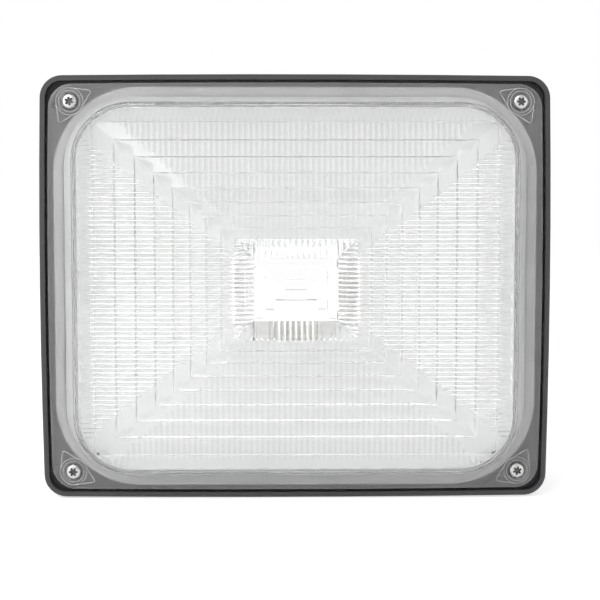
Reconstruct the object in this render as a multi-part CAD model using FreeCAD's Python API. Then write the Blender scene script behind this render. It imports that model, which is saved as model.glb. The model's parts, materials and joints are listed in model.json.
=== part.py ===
import FreeCAD, Part
import math
import os
from collections import namedtuple

# LED canopy light on a hinged mounting plate, in millimetres.
# +X is to the right and +Z up as the light is seen from the front; the lens faces -Y.
# Depths are counted from the wall, so a point at depth d lies at y = -d.

# Rim and lens, as seen from the front
RIM_WIDTH = 241.0
RIM_HEIGHT = 200.0
RIM_CORNER = 10.5
RIM_BOW_SIDE = 1.0
RIM_BOW_TOP = 0.6
RIM_DEPTH = 13.5
RIM_EDGE_BREAK = 1.0
LIP_WIDTH = 2.5
FLANGE_GAP = 1.5
FLANGE_CORNER = 11.0
FLANGE_THICK = 3.0
LENS_FACE_WIDTH = 206.4
LENS_FACE_HEIGHT = 172.0
LENS_FACE_CORNER = 27.0
LENS_RUN_SIDE = 6.6
LENS_RUN_TOP = 4.4
LENS_RISE = 17.5
LENS_EDGE_RISE = 4.0
LENS_EDGE_RUN = 1.5
LENS_WALL = 2.4
LENS_CROWN_THICK = 4.0
LENS_DOME_RADIUS = 4200.0

# Prism rings inside the lens: similar rectangles, each a ridge that is highest at its outer edge
PRISM_WIDTH = 187.2
PRISM_HEIGHT = 154.4
PRISM_RINGS = 8
PRISM_STEP_OUTER = 9.9
PRISM_STEP_INNER = 6.4
PRISM_RIDGE = 1.8
PRISM_DRAFT = 0.4

# Middle of the lens: a steep ring round a box of nested grooves
HUB_RUN = 8.9
HUB_RISE = 7.1
GROOVE_PITCH = 4.6
GROOVE_RISE = 2.3

# Screw bosses of the lens flange
LENS_SCREW_SPAN_X = 211.0
LENS_SCREW_SPAN_Z = 174.5
LENS_BOSS_RADIUS = 6.35
LENS_BOSS_RISE = 0.3
LENS_EAR_REACH = 10.4
LENS_EAR_TURN = 5.0
SEAT_RADIUS = 4.1
SEAT_SINK = 1.0
PAD_RADIUS = 5.3

# Lens gasket
GASKET_WIDTH = 227.4
GASKET_HEIGHT = 188.2
GASKET_CORNER = 40.0
GASKET_BAND = 4.1
GASKET_THICK = 2.5

# Front casting: heat sink with fins behind the rim
CORE_WIDTH = 226.0
CORE_HEIGHT = 186.0
CORE_CORNER = 16.0
WEB_THICK = 4.0
CAVITY_DEPTH = 23.0
CAVITY_MARGIN = 0.3
CAVITY_DRAFT = 3.5
SHOULDER_RUN = 7.0
FIN_THICK = 2.2
FIN_PITCH = 9.0
FIN_SPAN_X = 189.0
FIN_SPAN_Z = 148.0
FIN_BACK_GAP = 2.0
FIN_FOOT_RISE = 2.0
FIN_TIP_INSET = 1.5
FIN_ROOT_SINK = 1.8

# Rear casting: wiring box
BOX_WIDTH = 210.0
BOX_HEIGHT = 166.0
BOX_CORNER = 14.0
BOX_WALL = 3.5
BOX_DEPTH = 33.0
BOX_FLANGE_THICK = 4.0
BOX_FLANGE_RADIUS = 9.0
BOX_SCREW_INSET = 14.0
BOX_BOSS_RADIUS = 5.0
BOX_BOSS_RISE = 8.0
SEAM_GASKET_THICK = 1.0
SEAM_GASKET_BAND = 3.5

# Mounting plate
PLATE_THICK = 2.5
PLATE_GASKET_THICK = 1.5
PLATE_GASKET_BAND = 5.0
WIRE_HOLE_RADIUS = 11.1
BOX_SLOT_SPAN_X = 88.9
BOX_SLOT_SPAN_Z = 69.85
BOX_SLOT_LENGTH = 12.0
BOX_SLOT_WIDTH = 5.0
ANCHOR_SPAN_X = 180.0
ANCHOR_SPAN_Z = 120.0
ANCHOR_RADIUS = 2.75

# Hinge between plate and light
HINGE_X = 70.0
HINGE_DEPTH = 12.0
HINGE_ABOVE_BOX = 9.0
HINGE_PIN_RADIUS = 2.0
HINGE_RUNNING_GAP = 0.06
HINGE_SNUG_GAP = 0.02
HINGE_SIDE_GAP = 0.3
PLATE_EYE_RADIUS = 4.0
PLATE_TONGUE_WIDTH = 14.0
BOX_EYE_RADIUS = 4.5
BOX_EYE_THICK = 5.0
BOX_EYE_FOOT = 13.0
PIN_HEAD_RADIUS = 3.2
PIN_HEAD_THICK = 1.2

# Latch tabs and screws
LATCH_X = 70.0
LATCH_DEPTH = 11.0
LATCH_TAB_WIDTH = 16.0
LATCH_TAB_REACH = 7.0
LATCH_TAB_GAP = 0.6
LATCH_NOTCH_WIDTH = 5.0
LATCH_BOSS_WIDTH = 12.0
LATCH_BOSS_HEIGHT = 9.5

# Conduit entries and breather
ENTRY_RADIUS = 10.5
ENTRY_DEPTH = 20.0
ENTRY_BOSS_RADIUS = 14.5
ENTRY_BOSS_RISE = 4.0
PLUG_GAP = 0.2
PLUG_FLANGE_RADIUS = 13.0
PLUG_FLANGE_THICK = 3.0
PLUG_SLOT_WIDTH = 2.0
PLUG_SLOT_DEPTH = 1.4
SEAL_THICK = 1.5
VENT_X = 30.0
VENT_DEPTH = 20.0
VENT_CAP_RADIUS = 7.0
VENT_CAP_THICK = 4.0
VENT_STEM_RADIUS = 5.0
VENT_GROOVES = 10
VENT_GROOVE_WIDTH = 1.2
VENT_GROOVE_SINK = 0.9

# LED array and reflector
PAD_SIZE = 19.0
PAD_THICK = 0.5
LED_THICK = 1.0
PHOSPHOR_RADIUS = 7.2
PHOSPHOR_THICK = 0.8
HOLDER_RADIUS = 20.0
HOLDER_THICK = 5.5
HOLDER_POCKET_GAP = 0.3
HOLDER_MOUTH_RADIUS = 9.0
HOLDER_MOUTH_FLARE = 3.0
HOLDER_SCREW_OFFSET = 15.0
REFLECTOR_STANDOFF = 5.0
REFLECTOR_SHEET = 1.0
REFLECTOR_BASE_WIDTH = 120.0
REFLECTOR_BASE_HEIGHT = 92.0
REFLECTOR_BASE_CORNER = 20.0
REFLECTOR_TOP_INSET = 0.5
REFLECTOR_TOP_DROP = 1.0
REFLECTOR_HOLE_GAP = 0.5
REFLECTOR_SCREW_X = 48.0
REFLECTOR_SCREW_Z = 34.0
REFLECTOR_POST_RADIUS = 4.0

# Driver
DRIVER_LENGTH = 120.0
DRIVER_HEIGHT = 44.0
DRIVER_DEPTH = 22.0
DRIVER_Z = 38.0
DRIVER_EDGE = 3.0
DRIVER_COVER_THICK = 2.0
DRIVER_COVER_LAP = 1.0
DRIVER_FOOT_REACH = 12.0
DRIVER_FOOT_WIDTH = 12.0
DRIVER_FOOT_THICK = 2.0
DRIVER_FOOT_DROP = 14.0

# Terminal block
BLOCK_X = -50.0
BLOCK_Z = -45.0
BLOCK_LENGTH = 36.0
BLOCK_HEIGHT = 20.0
BLOCK_DEPTH = 16.0
BLOCK_POLES = 3
BLOCK_POLE_PITCH = 12.0
BLOCK_ROW_SPAN = 10.0
BLOCK_WELL_DEPTH = 4.0
BLOCK_WELL_GAP = 0.3

# Leads
LEAD_RADIUS = 0.9
LEAD_BEND = 2.5
LEAD_SPACING = 3.2
LEAD_LAYER = 3.0
LEAD_DROP_REACH = 16.0
LEAD_RISE_Z = 8.0
LEAD_STANDOFF = 8.0
LEAD_FRONT_GAP = 1.9
INPUT_DROP_REACH = 22.0
INPUT_DROP_PITCH = 7.0
INPUT_ROW_Z = -24.0
INPUT_ROW_PITCH = 10.0
GROMMET_NECK = 5.0
GROMMET_FLANGE = 7.0
GROMMET_FLANGE_THICK = 1.5
GROMMET_BORE = 3.0

# Earth connection
GROUND_X = 20.0
GROUND_BOSS_RADIUS = 5.0
GROUND_BOSS_RISE = 4.0
GROUND_RING_RADIUS = 4.4
GROUND_RING_THICK = 1.2
GROUND_BARREL_RADIUS = 1.7
GROUND_BARREL_LENGTH = 8.0
GROUND_BARREL_START = 3.6

# Fasteners: radii of shank, head and socket, heights of head and crown, depth of socket
Fastener = namedtuple("Fastener", "shank head socket height crown sink")
M4 = Fastener(1.95, 3.5, 1.6, 2.4, 0.8, 1.3)
M3 = Fastener(1.45, 2.75, 1.2, 1.8, 0.6, 1.0)
HEX_SIDES = 6
TAPPED_GAP = 0.05
PASS_GAP = 0.3
LENS_SCREW_LENGTH = 10.0
BOX_SCREW_LENGTH = 13.0
LATCH_SCREW_LENGTH = 10.0
HOLDER_SCREW_LENGTH = 8.5
REFLECTOR_SCREW_LENGTH = 7.0
DRIVER_SCREW_LENGTH = 5.0
BLOCK_SCREW_LENGTH = 18.5
TERMINAL_SCREW_LENGTH = 6.0
GROUND_SCREW_LENGTH = 8.0
HOLE_RUN_OUT = 0.5

# Depth of each layer, from the wall to the front
BOX_BACK = PLATE_THICK + PLATE_GASKET_THICK
BOX_FRONT = BOX_BACK + BOX_DEPTH
WEB_BACK = BOX_FRONT + SEAM_GASKET_THICK
WEB_FRONT = WEB_BACK + WEB_THICK
LEDGE = WEB_FRONT + CAVITY_DEPTH
FLANGE_BACK = LEDGE + GASKET_THICK
FLANGE_FRONT = FLANGE_BACK + FLANGE_THICK
RIM_FRONT = FLANGE_FRONT
RIM_BACK = RIM_FRONT - RIM_DEPTH
CROWN = FLANGE_FRONT + LENS_RISE
LENS_INNER_FACE = CROWN - LENS_CROWN_THICK
REFLECTOR_BACK = WEB_FRONT + REFLECTOR_STANDOFF
LED_BACK = WEB_FRONT + PAD_THICK
LED_FRONT = LED_BACK + LED_THICK
DRIVER_BACK = WEB_BACK - DRIVER_DEPTH
BLOCK_BACK = WEB_BACK - BLOCK_DEPTH
GROUND_SEAT = WEB_BACK - GROUND_BOSS_RISE
LEAD_PLANE = WEB_BACK - LEAD_STANDOFF
LEAD_FRONT_PLANE = WEB_FRONT + LEAD_FRONT_GAP + LEAD_RADIUS
LEAD_DROP_X = DRIVER_LENGTH / 2 + LEAD_DROP_REACH
HINGE_Z = BOX_HEIGHT / 2 + HINGE_ABOVE_BOX
LATCH_TAB_TOP = -BOX_HEIGHT / 2 - LATCH_TAB_GAP
LATCH_TAB_BOTTOM = LATCH_TAB_TOP - PLATE_THICK
LATCH_HEAD_Z = LATCH_TAB_BOTTOM - LATCH_TAB_GAP

FORWARD = FreeCAD.Vector(0, -1, 0)
BACKWARD = FreeCAD.Vector(0, 1, 0)
RIGHT = FreeCAD.Vector(1, 0, 0)
UP = FreeCAD.Vector(0, 0, 1)
DOWN = FreeCAD.Vector(0, 0, -1)
SIDES = (1, -1)


def at(x, depth, z):
    """Point at a distance from the wall."""
    return FreeCAD.Vector(x, -depth, z)


def corners(span_x, span_z):
    """The four corners of a rectangle centred on the light's axis."""
    return [(sx * span_x / 2, sz * span_z / 2) for sx in SIDES for sz in SIDES]


class Outline:
    """Rounded rectangle centred on the light's axis, whose sides may bow outwards."""

    def __init__(self, width, height, corner, bow_side=0.0, bow_top=0.0):
        self.width = width
        self.height = height
        self.corner = corner
        self.bow_side = bow_side
        self.bow_top = bow_top

    def inset(self, side, top=None):
        """The same outline drawn in by one margin, or by one at the sides and one at top and bottom."""
        top = side if top is None else top
        return Outline(self.width - 2 * side, self.height - 2 * top, self.corner - min(side, top),
                       self.bow_side, self.bow_top)

    def wire(self, depth):
        """Closed wire at one depth: straight or bowed sides joined by corner arcs."""
        side = self.width / 2 - self.bow_side
        top = self.height / 2 - self.bow_top
        inner_x = side - self.corner
        inner_z = top - self.corner
        diagonal = self.corner * math.sqrt(0.5)
        half = (
            ((side, -inner_z), (self.width / 2, 0), (side, inner_z), self.bow_side),
            ((side, inner_z), (inner_x + diagonal, inner_z + diagonal), (inner_x, top), self.corner),
            ((inner_x, top), (0, self.height / 2), (-inner_x, top), self.bow_top),
            ((-inner_x, top), (-inner_x - diagonal, inner_z + diagonal), (-side, inner_z), self.corner),
        )
        edges = []
        for sign in SIDES:
            for start, middle, end, bulge in half:
                a, m, b = (at(sign * x, depth, sign * z) for x, z in (start, middle, end))
                edges.append(Part.Arc(a, m, b).toShape() if bulge > 0 else Part.makeLine(a, b))
        return Part.Wire(edges)

    def prism(self, back, front):
        """Solid with this outline between two depths."""
        return Part.Face(self.wire(back)).extrude(FORWARD * (front - back))


def loft(*sections):
    """Ruled solid through outlines, each given with its depth."""
    return Part.makeLoft([outline.wire(depth) for outline, depth in sections], True, True)


def ring(outer, inner, back, front):
    """Flat ring between two outlines."""
    return outer.prism(back, front).cut(inner.prism(back, front))


def post(x, z, radius, back, front):
    """Cylinder along the light's depth."""
    return Part.makeCylinder(radius, front - back, at(x, back, z), FORWARD)


def block(x_range, depth_range, z_range):
    """Box between pairs of limits."""
    x0, x1 = sorted(x_range)
    back, front = depth_range
    z0, z1 = sorted(z_range)
    return Part.makeBox(x1 - x0, front - back, z1 - z0, at(x0, front, z0))


def depth_edges(box):
    """The four edges of a box that run along the depth."""
    boxes = [(edge, edge.BoundBox) for edge in box.Edges]
    return [edge for edge, bounds in boxes if bounds.YLength > bounds.XLength + bounds.ZLength]


def slot(x, z, length, width, along_x, back, front):
    """Slot with round ends, cut along the depth."""
    reach = (length - width) / 2
    dx, dz = (reach, 0) if along_x else (0, reach)
    side = width / 2
    bar = block((x - dx - side * (not along_x), x + dx + side * (not along_x)), (back, front),
                (z - dz - side * along_x, z + dz + side * along_x))
    ends = [post(x + s * dx, z + s * dz, side, back, front) for s in SIDES]
    return bar.multiFuse(ends).removeSplitter()


def screw(size, length, seat, direction):
    """Socket-head screw: its head stands on the seat and points along the direction."""
    wall = size.height - size.crown
    head = Part.makeCylinder(size.head, wall, seat, direction)
    crown = Part.makeCone(size.head, size.head - size.crown, size.crown, seat + direction * wall, direction)
    shank = Part.makeCylinder(size.shank, length, seat, direction * -1)
    across = (UP if direction.z == 0 else RIGHT) * size.socket
    turns = [FreeCAD.Rotation(direction, 360 * k / HEX_SIDES).multVec(across) for k in range(HEX_SIDES + 1)]
    top = seat + direction * size.height
    hexagon = Part.Face(Part.makePolygon([top + turn for turn in turns]))
    return head.multiFuse([crown, shank]).cut(hexagon.extrude(direction * -size.sink)).removeSplitter()


def screws(size, length, places, seat, direction):
    """A group of like screws along the depth, with their seats at one depth."""
    return [screw(size, length, at(x, seat, z), direction) for x, z in places]


def bent_rod(points, radius, bend):
    """Round wire along straight runs that are joined by tangent arcs."""
    edges = []
    start = points[0]
    for before, corner, after in zip(points, points[1:], points[2:]):
        back = (before - corner).normalize()
        on = (after - corner).normalize()
        half_turn = (math.pi - back.getAngle(on)) / 2
        tangent = bend * math.tan(half_turn)
        middle = corner + (back + on).normalize() * (bend / math.cos(half_turn) - bend)
        edges.append(Part.makeLine(start, corner + back * tangent))
        edges.append(Part.Arc(corner + back * tangent, middle, corner + on * tangent).toShape())
        start = corner + on * tangent
    edges.append(Part.makeLine(start, points[-1]))
    section = Part.Wire(Part.makeCircle(radius, points[0], points[1] - points[0]))
    return Part.Wire(edges).makePipeShell([section], True, False)


def save(node, *solids):
    """Write one node, a single solid or a group of separate ones."""
    shape = solids[0] if len(solids) == 1 else Part.makeCompound(list(solids))
    shape.exportStep("parts/" + node + ".step")


# Outlines that neighbouring pieces share
RIM = Outline(RIM_WIDTH, RIM_HEIGHT, RIM_CORNER, RIM_BOW_SIDE, RIM_BOW_TOP)
RECESS = RIM.inset(LIP_WIDTH)
FLANGE = RIM.inset(LIP_WIDTH + FLANGE_GAP)
FLANGE.corner = FLANGE_CORNER
GASKET = Outline(GASKET_WIDTH, GASKET_HEIGHT, GASKET_CORNER)
CAVITY = GASKET.inset(GASKET_BAND + CAVITY_MARGIN)
CORE = Outline(CORE_WIDTH, CORE_HEIGHT, CORE_CORNER, RIM_BOW_SIDE, RIM_BOW_TOP)
BOX = Outline(BOX_WIDTH, BOX_HEIGHT, BOX_CORNER)
LENS_FACE = Outline(LENS_FACE_WIDTH, LENS_FACE_HEIGHT, LENS_FACE_CORNER)
LENS_FOOT = LENS_FACE.inset(-LENS_RUN_SIDE, -LENS_RUN_TOP)

LENS_SCREWS = corners(LENS_SCREW_SPAN_X, LENS_SCREW_SPAN_Z)
BOX_SCREWS = corners(BOX_WIDTH - 2 * BOX_SCREW_INSET, BOX_HEIGHT - 2 * BOX_SCREW_INSET)
REFLECTOR_SCREWS = corners(2 * REFLECTOR_SCREW_X, 2 * REFLECTOR_SCREW_Z)
HOLDER_SCREWS = [(0, s * HOLDER_SCREW_OFFSET) for s in SIDES]
DRIVER_SCREWS = [(s * (DRIVER_LENGTH + DRIVER_FOOT_REACH) / 2, DRIVER_Z - DRIVER_FOOT_DROP) for s in SIDES]
BLOCK_SCREWS = [(BLOCK_X + s * BLOCK_POLE_PITCH / 2, BLOCK_Z) for s in SIDES]
BLOCK_POLE_XS = [BLOCK_X + (k - (BLOCK_POLES - 1) / 2) * BLOCK_POLE_PITCH for k in range(BLOCK_POLES)]
TERMINAL_SCREWS = [(x, BLOCK_Z + s * BLOCK_ROW_SPAN / 2) for x in BLOCK_POLE_XS for s in SIDES]


def lens():
    """Clear cover: bossed flange, drafted wall, domed face and prism rings on the inside."""
    shoulder = CROWN - LENS_EDGE_RISE
    edge = LENS_FACE.inset(LENS_EDGE_RUN)
    bell = loft((LENS_FOOT, FLANGE_BACK), (LENS_FACE, shoulder), (edge, CROWN))
    dome = Part.makeSphere(LENS_DOME_RADIUS, at(0, CROWN - LENS_DOME_RADIUS, 0))
    bell = bell.common(dome)
    hollow = loft((LENS_FOOT.inset(LENS_WALL), FLANGE_BACK),
                  (LENS_FACE.inset(LENS_WALL), LENS_INNER_FACE))
    bosses = [lens_boss(x, z) for x, z in LENS_SCREWS]
    shell = FLANGE.prism(FLANGE_BACK, FLANGE_FRONT).multiFuse([bell] + bosses).cut(hollow)
    shell = shell.multiFuse(lens_prisms())
    for x, z in LENS_SCREWS:
        through = post(x, z, M4.shank + PASS_GAP, FLANGE_BACK, FLANGE_FRONT)
        seat = post(x, z, SEAT_RADIUS, FLANGE_FRONT - SEAT_SINK, FLANGE_FRONT + LENS_BOSS_RISE)
        shell = shell.cut(through.fuse(seat))
    return shell.removeSplitter()


def lens_boss(x, z):
    """Raised pad round one screw, with an ear running along each edge of the flange."""
    top = FLANGE_FRONT + LENS_BOSS_RISE
    pad = post(x, z, LENS_BOSS_RADIUS, FLANGE_BACK, top)
    sx = math.copysign(1, x)
    sz = math.copysign(1, z)
    ears = []
    for reach in ((-sx * LENS_EAR_REACH, sz * LENS_EAR_TURN), (sx * LENS_EAR_TURN, -sz * LENS_EAR_REACH)):
        length = math.hypot(*reach)
        across_x = -reach[1] / length * LENS_BOSS_RADIUS
        across_z = reach[0] / length * LENS_BOSS_RADIUS
        points = [(x + reach[0], z + reach[1]), (x + across_x, z + across_z), (x - across_x, z - across_z)]
        points.append(points[0])
        face = Part.Face(Part.makePolygon([at(px, FLANGE_BACK, pz) for px, pz in points]))
        ears.append(face.extrude(FORWARD * (top - FLANGE_BACK)))
    return pad.multiFuse(ears)


def rectangle(line, depth):
    """Sharp-cornered rectangle at one depth, from its width and height."""
    width, height = line
    points = [(-1, -1), (1, -1), (1, 1), (-1, 1), (-1, -1)]
    return Part.makePolygon([at(sx * width / 2, depth, sz * height / 2) for sx, sz in points])


def drawn_in(line, run):
    """Width and height of a rectangle whose sides are all moved in by one run."""
    return [size - 2 * run for size in line]


def ridge(outer, crest_line, inner, rise):
    """Ring on the inner face of the lens, whose outer and inner slopes meet in a mitred crest."""
    crest = rectangle(crest_line, LENS_INNER_FACE - rise)
    whole = Part.makeLoft([rectangle(outer, LENS_INNER_FACE), crest], True, True)
    return whole.cut(Part.makeLoft([rectangle(inner, LENS_INNER_FACE), crest], True, True))


def lens_prisms():
    """Stepped rings of narrowing pitch, the steep ring round the middle and the grooves inside it."""
    taper = (PRISM_STEP_OUTER - PRISM_STEP_INNER) / (PRISM_RINGS - 1)
    ratio = PRISM_HEIGHT / PRISM_WIDTH
    outer = (PRISM_WIDTH, PRISM_HEIGHT)
    ridges = []
    for k in range(PRISM_RINGS):
        width = outer[0] - 2 * (PRISM_STEP_OUTER - k * taper)
        inner = (width, width * ratio)
        ridges.append(ridge(outer, drawn_in(outer, PRISM_DRAFT), inner, PRISM_RIDGE))
        outer = inner
    box = drawn_in(outer, HUB_RUN)
    ridges.append(ridge(outer, box, box, HUB_RISE))
    for k in range(int(min(box) / (2 * GROOVE_PITCH))):
        outer = drawn_in(box, k * GROOVE_PITCH)
        crest_line = drawn_in(outer, GROOVE_PITCH / 2)
        ridges.append(ridge(outer, crest_line, drawn_in(outer, GROOVE_PITCH), GROOVE_RISE))
    return ridges


def front_housing():
    """Die-cast heat sink: rim with a lens recess, finned core, web and bosses."""
    body = loft((CORE, WEB_BACK), (CORE, RIM_BACK - SHOULDER_RUN), (RIM, RIM_BACK),
                (RIM, RIM_FRONT - RIM_EDGE_BREAK), (RIM.inset(RIM_EDGE_BREAK), RIM_FRONT))
    body = body.multiFuse(cooling_fins())
    cavity = loft((CAVITY.inset(CAVITY_DRAFT), WEB_FRONT), (CAVITY, LEDGE))
    body = body.cut(RECESS.prism(LEDGE, RIM_FRONT)).cut(cavity)
    added = [post(x, z, PAD_RADIUS, LEDGE, FLANGE_BACK) for x, z in LENS_SCREWS]
    added += [post(x, z, REFLECTOR_POST_RADIUS, WEB_FRONT, REFLECTOR_BACK) for x, z in REFLECTOR_SCREWS]
    added += [post(x, z, BOX_BOSS_RADIUS, WEB_FRONT, WEB_FRONT + BOX_BOSS_RISE) for x, z in BOX_SCREWS]
    added.append(post(GROUND_X, BLOCK_Z, GROUND_BOSS_RADIUS, GROUND_SEAT, WEB_BACK))
    body = body.multiFuse(added)
    m3 = M3.shank + TAPPED_GAP
    m4 = M4.shank + TAPPED_GAP
    holes = []
    for x, z in LENS_SCREWS:
        end = FLANGE_FRONT - SEAT_SINK - LENS_SCREW_LENGTH - HOLE_RUN_OUT
        holes.append(post(x, z, m4, end, FLANGE_BACK))
    for x, z in REFLECTOR_SCREWS:
        end = REFLECTOR_BACK + REFLECTOR_SHEET - REFLECTOR_SCREW_LENGTH - HOLE_RUN_OUT
        holes.append(post(x, z, m3, end, REFLECTOR_BACK))
    for x, z in HOLDER_SCREWS:
        end = WEB_FRONT + HOLDER_THICK - HOLDER_SCREW_LENGTH - HOLE_RUN_OUT
        holes.append(post(x, z, m3, end, WEB_FRONT))
    for x, z in BOX_SCREWS:
        end = BOX_FRONT - BOX_FLANGE_THICK + BOX_SCREW_LENGTH + HOLE_RUN_OUT
        holes.append(post(x, z, m4, WEB_BACK, end))
    for x, z in DRIVER_SCREWS:
        end = WEB_BACK - DRIVER_FOOT_THICK + DRIVER_SCREW_LENGTH + HOLE_RUN_OUT
        holes.append(post(x, z, m4, WEB_BACK, end))
    for x, z in BLOCK_SCREWS:
        end = BLOCK_BACK + BLOCK_SCREW_LENGTH + HOLE_RUN_OUT
        holes.append(post(x, z, m3, WEB_BACK, end))
    end = GROUND_SEAT - GROUND_RING_THICK + GROUND_SCREW_LENGTH + HOLE_RUN_OUT
    holes.append(post(GROUND_X, BLOCK_Z, m4, GROUND_SEAT, end))
    holes.append(post(LEAD_DROP_X, 0, GROMMET_NECK, WEB_BACK, WEB_FRONT))
    for hole in holes:
        body = body.cut(hole)
    return body.removeSplitter()


def cooling_fins():
    """Thin fins round the core, cut to a slant that ends under the rim."""
    back = WEB_BACK + FIN_BACK_GAP
    clip = loft((CORE.inset(-FIN_FOOT_RISE), back), (RIM.inset(FIN_TIP_INSET), RIM_BACK))
    half_x = RIM_WIDTH / 2
    half_z = RIM_HEIGHT / 2
    root_x = CORE_WIDTH / 2 - RIM_BOW_SIDE - FIN_ROOT_SINK
    root_z = CORE_HEIGHT / 2 - RIM_BOW_TOP - FIN_ROOT_SINK
    half = FIN_THICK / 2
    bars = []
    for side in SIDES:
        for z in pattern(FIN_SPAN_Z, FIN_PITCH):
            bars.append(block((side * root_x, side * half_x), (back, RIM_BACK), (z - half, z + half)))
        for x in pattern(FIN_SPAN_X, FIN_PITCH):
            bars.append(block((x - half, x + half), (back, RIM_BACK), (side * root_z, side * half_z)))
    return [bar.common(clip) for bar in bars]


def pattern(span, pitch):
    """Places of a centred row that fills a span."""
    count = int(span / pitch) + 1
    return [(k - (count - 1) / 2) * pitch for k in range(count)]


def rear_housing():
    """Wiring box: four walls, corner flanges, hinge eyes, latch bosses and conduit entries."""
    inside = BOX.inset(BOX_WALL)
    flange_back = BOX_FRONT - BOX_FLANGE_THICK
    body = ring(BOX, inside, BOX_BACK, BOX_FRONT)
    whole = BOX.prism(BOX_BACK, BOX_FRONT)
    added = []
    for x, z in BOX_SCREWS:
        lug = post(x, z, BOX_FLANGE_RADIUS, flange_back, BOX_FRONT)
        reach_x = math.copysign(BOX_WIDTH / 2, x)
        reach_z = math.copysign(BOX_HEIGHT / 2, z)
        edge_x = math.copysign(BOX_FLANGE_RADIUS, x)
        edge_z = math.copysign(BOX_FLANGE_RADIUS, z)
        span = (flange_back, BOX_FRONT)
        lug = lug.fuse(block((x, reach_x), span, (z - edge_z, reach_z)))
        lug = lug.fuse(block((x - edge_x, reach_x), span, (z, reach_z)))
        added.append(lug.common(whole))
    for side in SIDES:
        added.append(Part.makeCylinder(ENTRY_BOSS_RADIUS, BOX_WALL + ENTRY_BOSS_RISE,
                                       at(side * (BOX_WIDTH / 2 - BOX_WALL), ENTRY_DEPTH, 0), RIGHT * side))
        half = LATCH_BOSS_WIDTH / 2
        floor = -BOX_HEIGHT / 2
        added.append(block((side * LATCH_X - half, side * LATCH_X + half),
                           (LATCH_DEPTH - half, LATCH_DEPTH + half),
                           (floor, floor + BOX_WALL + LATCH_BOSS_HEIGHT)).common(whole))
        gap = PLATE_THICK / 2 + HINGE_SIDE_GAP
        for flank in SIDES:
            added.append(box_eye(side * HINGE_X + flank * (gap + BOX_EYE_THICK / 2)))
    body = body.multiFuse(added)
    holes = []
    for x, z in BOX_SCREWS:
        holes.append(post(x, z, M4.shank + PASS_GAP, flange_back, BOX_FRONT))
    for side in SIDES:
        holes.append(Part.makeCylinder(ENTRY_RADIUS, BOX_WALL + ENTRY_BOSS_RISE,
                                       at(side * (BOX_WIDTH / 2 - BOX_WALL), ENTRY_DEPTH, 0), RIGHT * side))
        holes.append(Part.makeCylinder(M4.shank + TAPPED_GAP, LATCH_SCREW_LENGTH,
                                       at(side * LATCH_X, LATCH_DEPTH, -BOX_HEIGHT / 2), UP))
        reach = PLATE_THICK / 2 + HINGE_SIDE_GAP + BOX_EYE_THICK
        holes.append(Part.makeCylinder(HINGE_PIN_RADIUS + HINGE_SNUG_GAP, 2 * reach,
                                       at(side * HINGE_X - reach, HINGE_DEPTH, HINGE_Z), RIGHT))
    holes.append(Part.makeCylinder(VENT_STEM_RADIUS, BOX_WALL, at(VENT_X, VENT_DEPTH, -BOX_HEIGHT / 2), UP))
    for hole in holes:
        body = body.cut(hole)
    return body.removeSplitter()


def box_eye(x):
    """One hinge eye on the top wall of the box: a round end on a wide foot."""
    floor = BOX_HEIGHT / 2 - BOX_WALL / 2
    left = x - BOX_EYE_THICK / 2
    eye = Part.makeCylinder(BOX_EYE_RADIUS, BOX_EYE_THICK, at(left, HINGE_DEPTH, HINGE_Z), RIGHT)
    half = BOX_EYE_FOOT / 2
    foot = [(-half, floor), (half, floor), (BOX_EYE_RADIUS, HINGE_Z), (-BOX_EYE_RADIUS, HINGE_Z),
            (-half, floor)]
    stem = Part.Face(Part.makePolygon([at(left, HINGE_DEPTH + depth, z) for depth, z in foot]))
    return eye.fuse(stem.extrude(RIGHT * BOX_EYE_THICK))


def mounting_plate():
    """Flat steel plate with tongues for its brackets, a wire hole and slots for a junction box."""
    body = BOX.prism(0, PLATE_THICK)
    tongues = []
    for side in SIDES:
        half = PLATE_TONGUE_WIDTH / 2
        x = side * HINGE_X
        tongues.append(block((x - half, x + half), (0, PLATE_THICK), (0, HINGE_Z + PLATE_EYE_RADIUS)))
        half = LATCH_TAB_WIDTH / 2
        x = side * LATCH_X
        tongues.append(block((x - half, x + half), (0, PLATE_THICK), (LATCH_TAB_BOTTOM, 0)))
    body = body.multiFuse(tongues)
    holes = [post(0, 0, WIRE_HOLE_RADIUS, 0, PLATE_THICK)]
    holes += [post(x, z, ANCHOR_RADIUS, 0, PLATE_THICK) for x, z in corners(ANCHOR_SPAN_X, ANCHOR_SPAN_Z)]
    for side in SIDES:
        holes.append(slot(side * BOX_SLOT_SPAN_X / 2, 0, BOX_SLOT_LENGTH, BOX_SLOT_WIDTH, True,
                          0, PLATE_THICK))
        holes.append(slot(0, side * BOX_SLOT_SPAN_Z / 2, BOX_SLOT_LENGTH, BOX_SLOT_WIDTH, False,
                          0, PLATE_THICK))
    for hole in holes:
        body = body.cut(hole)
    return body.removeSplitter()


def hinge_lug(side):
    """Lug welded on one upper tongue of the plate, with the eye for a hinge pin."""
    left = side * HINGE_X - PLATE_THICK / 2
    centre = at(left, HINGE_DEPTH, HINGE_Z)
    eye = Part.makeCylinder(PLATE_EYE_RADIUS, PLATE_THICK, centre, RIGHT)
    neck = block((left, left + PLATE_THICK), (PLATE_THICK, HINGE_DEPTH),
                 (HINGE_Z - PLATE_EYE_RADIUS, HINGE_Z + PLATE_EYE_RADIUS))
    bore = Part.makeCylinder(HINGE_PIN_RADIUS + HINGE_RUNNING_GAP, PLATE_THICK, centre, RIGHT)
    return eye.fuse(neck).cut(bore).removeSplitter()


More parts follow.
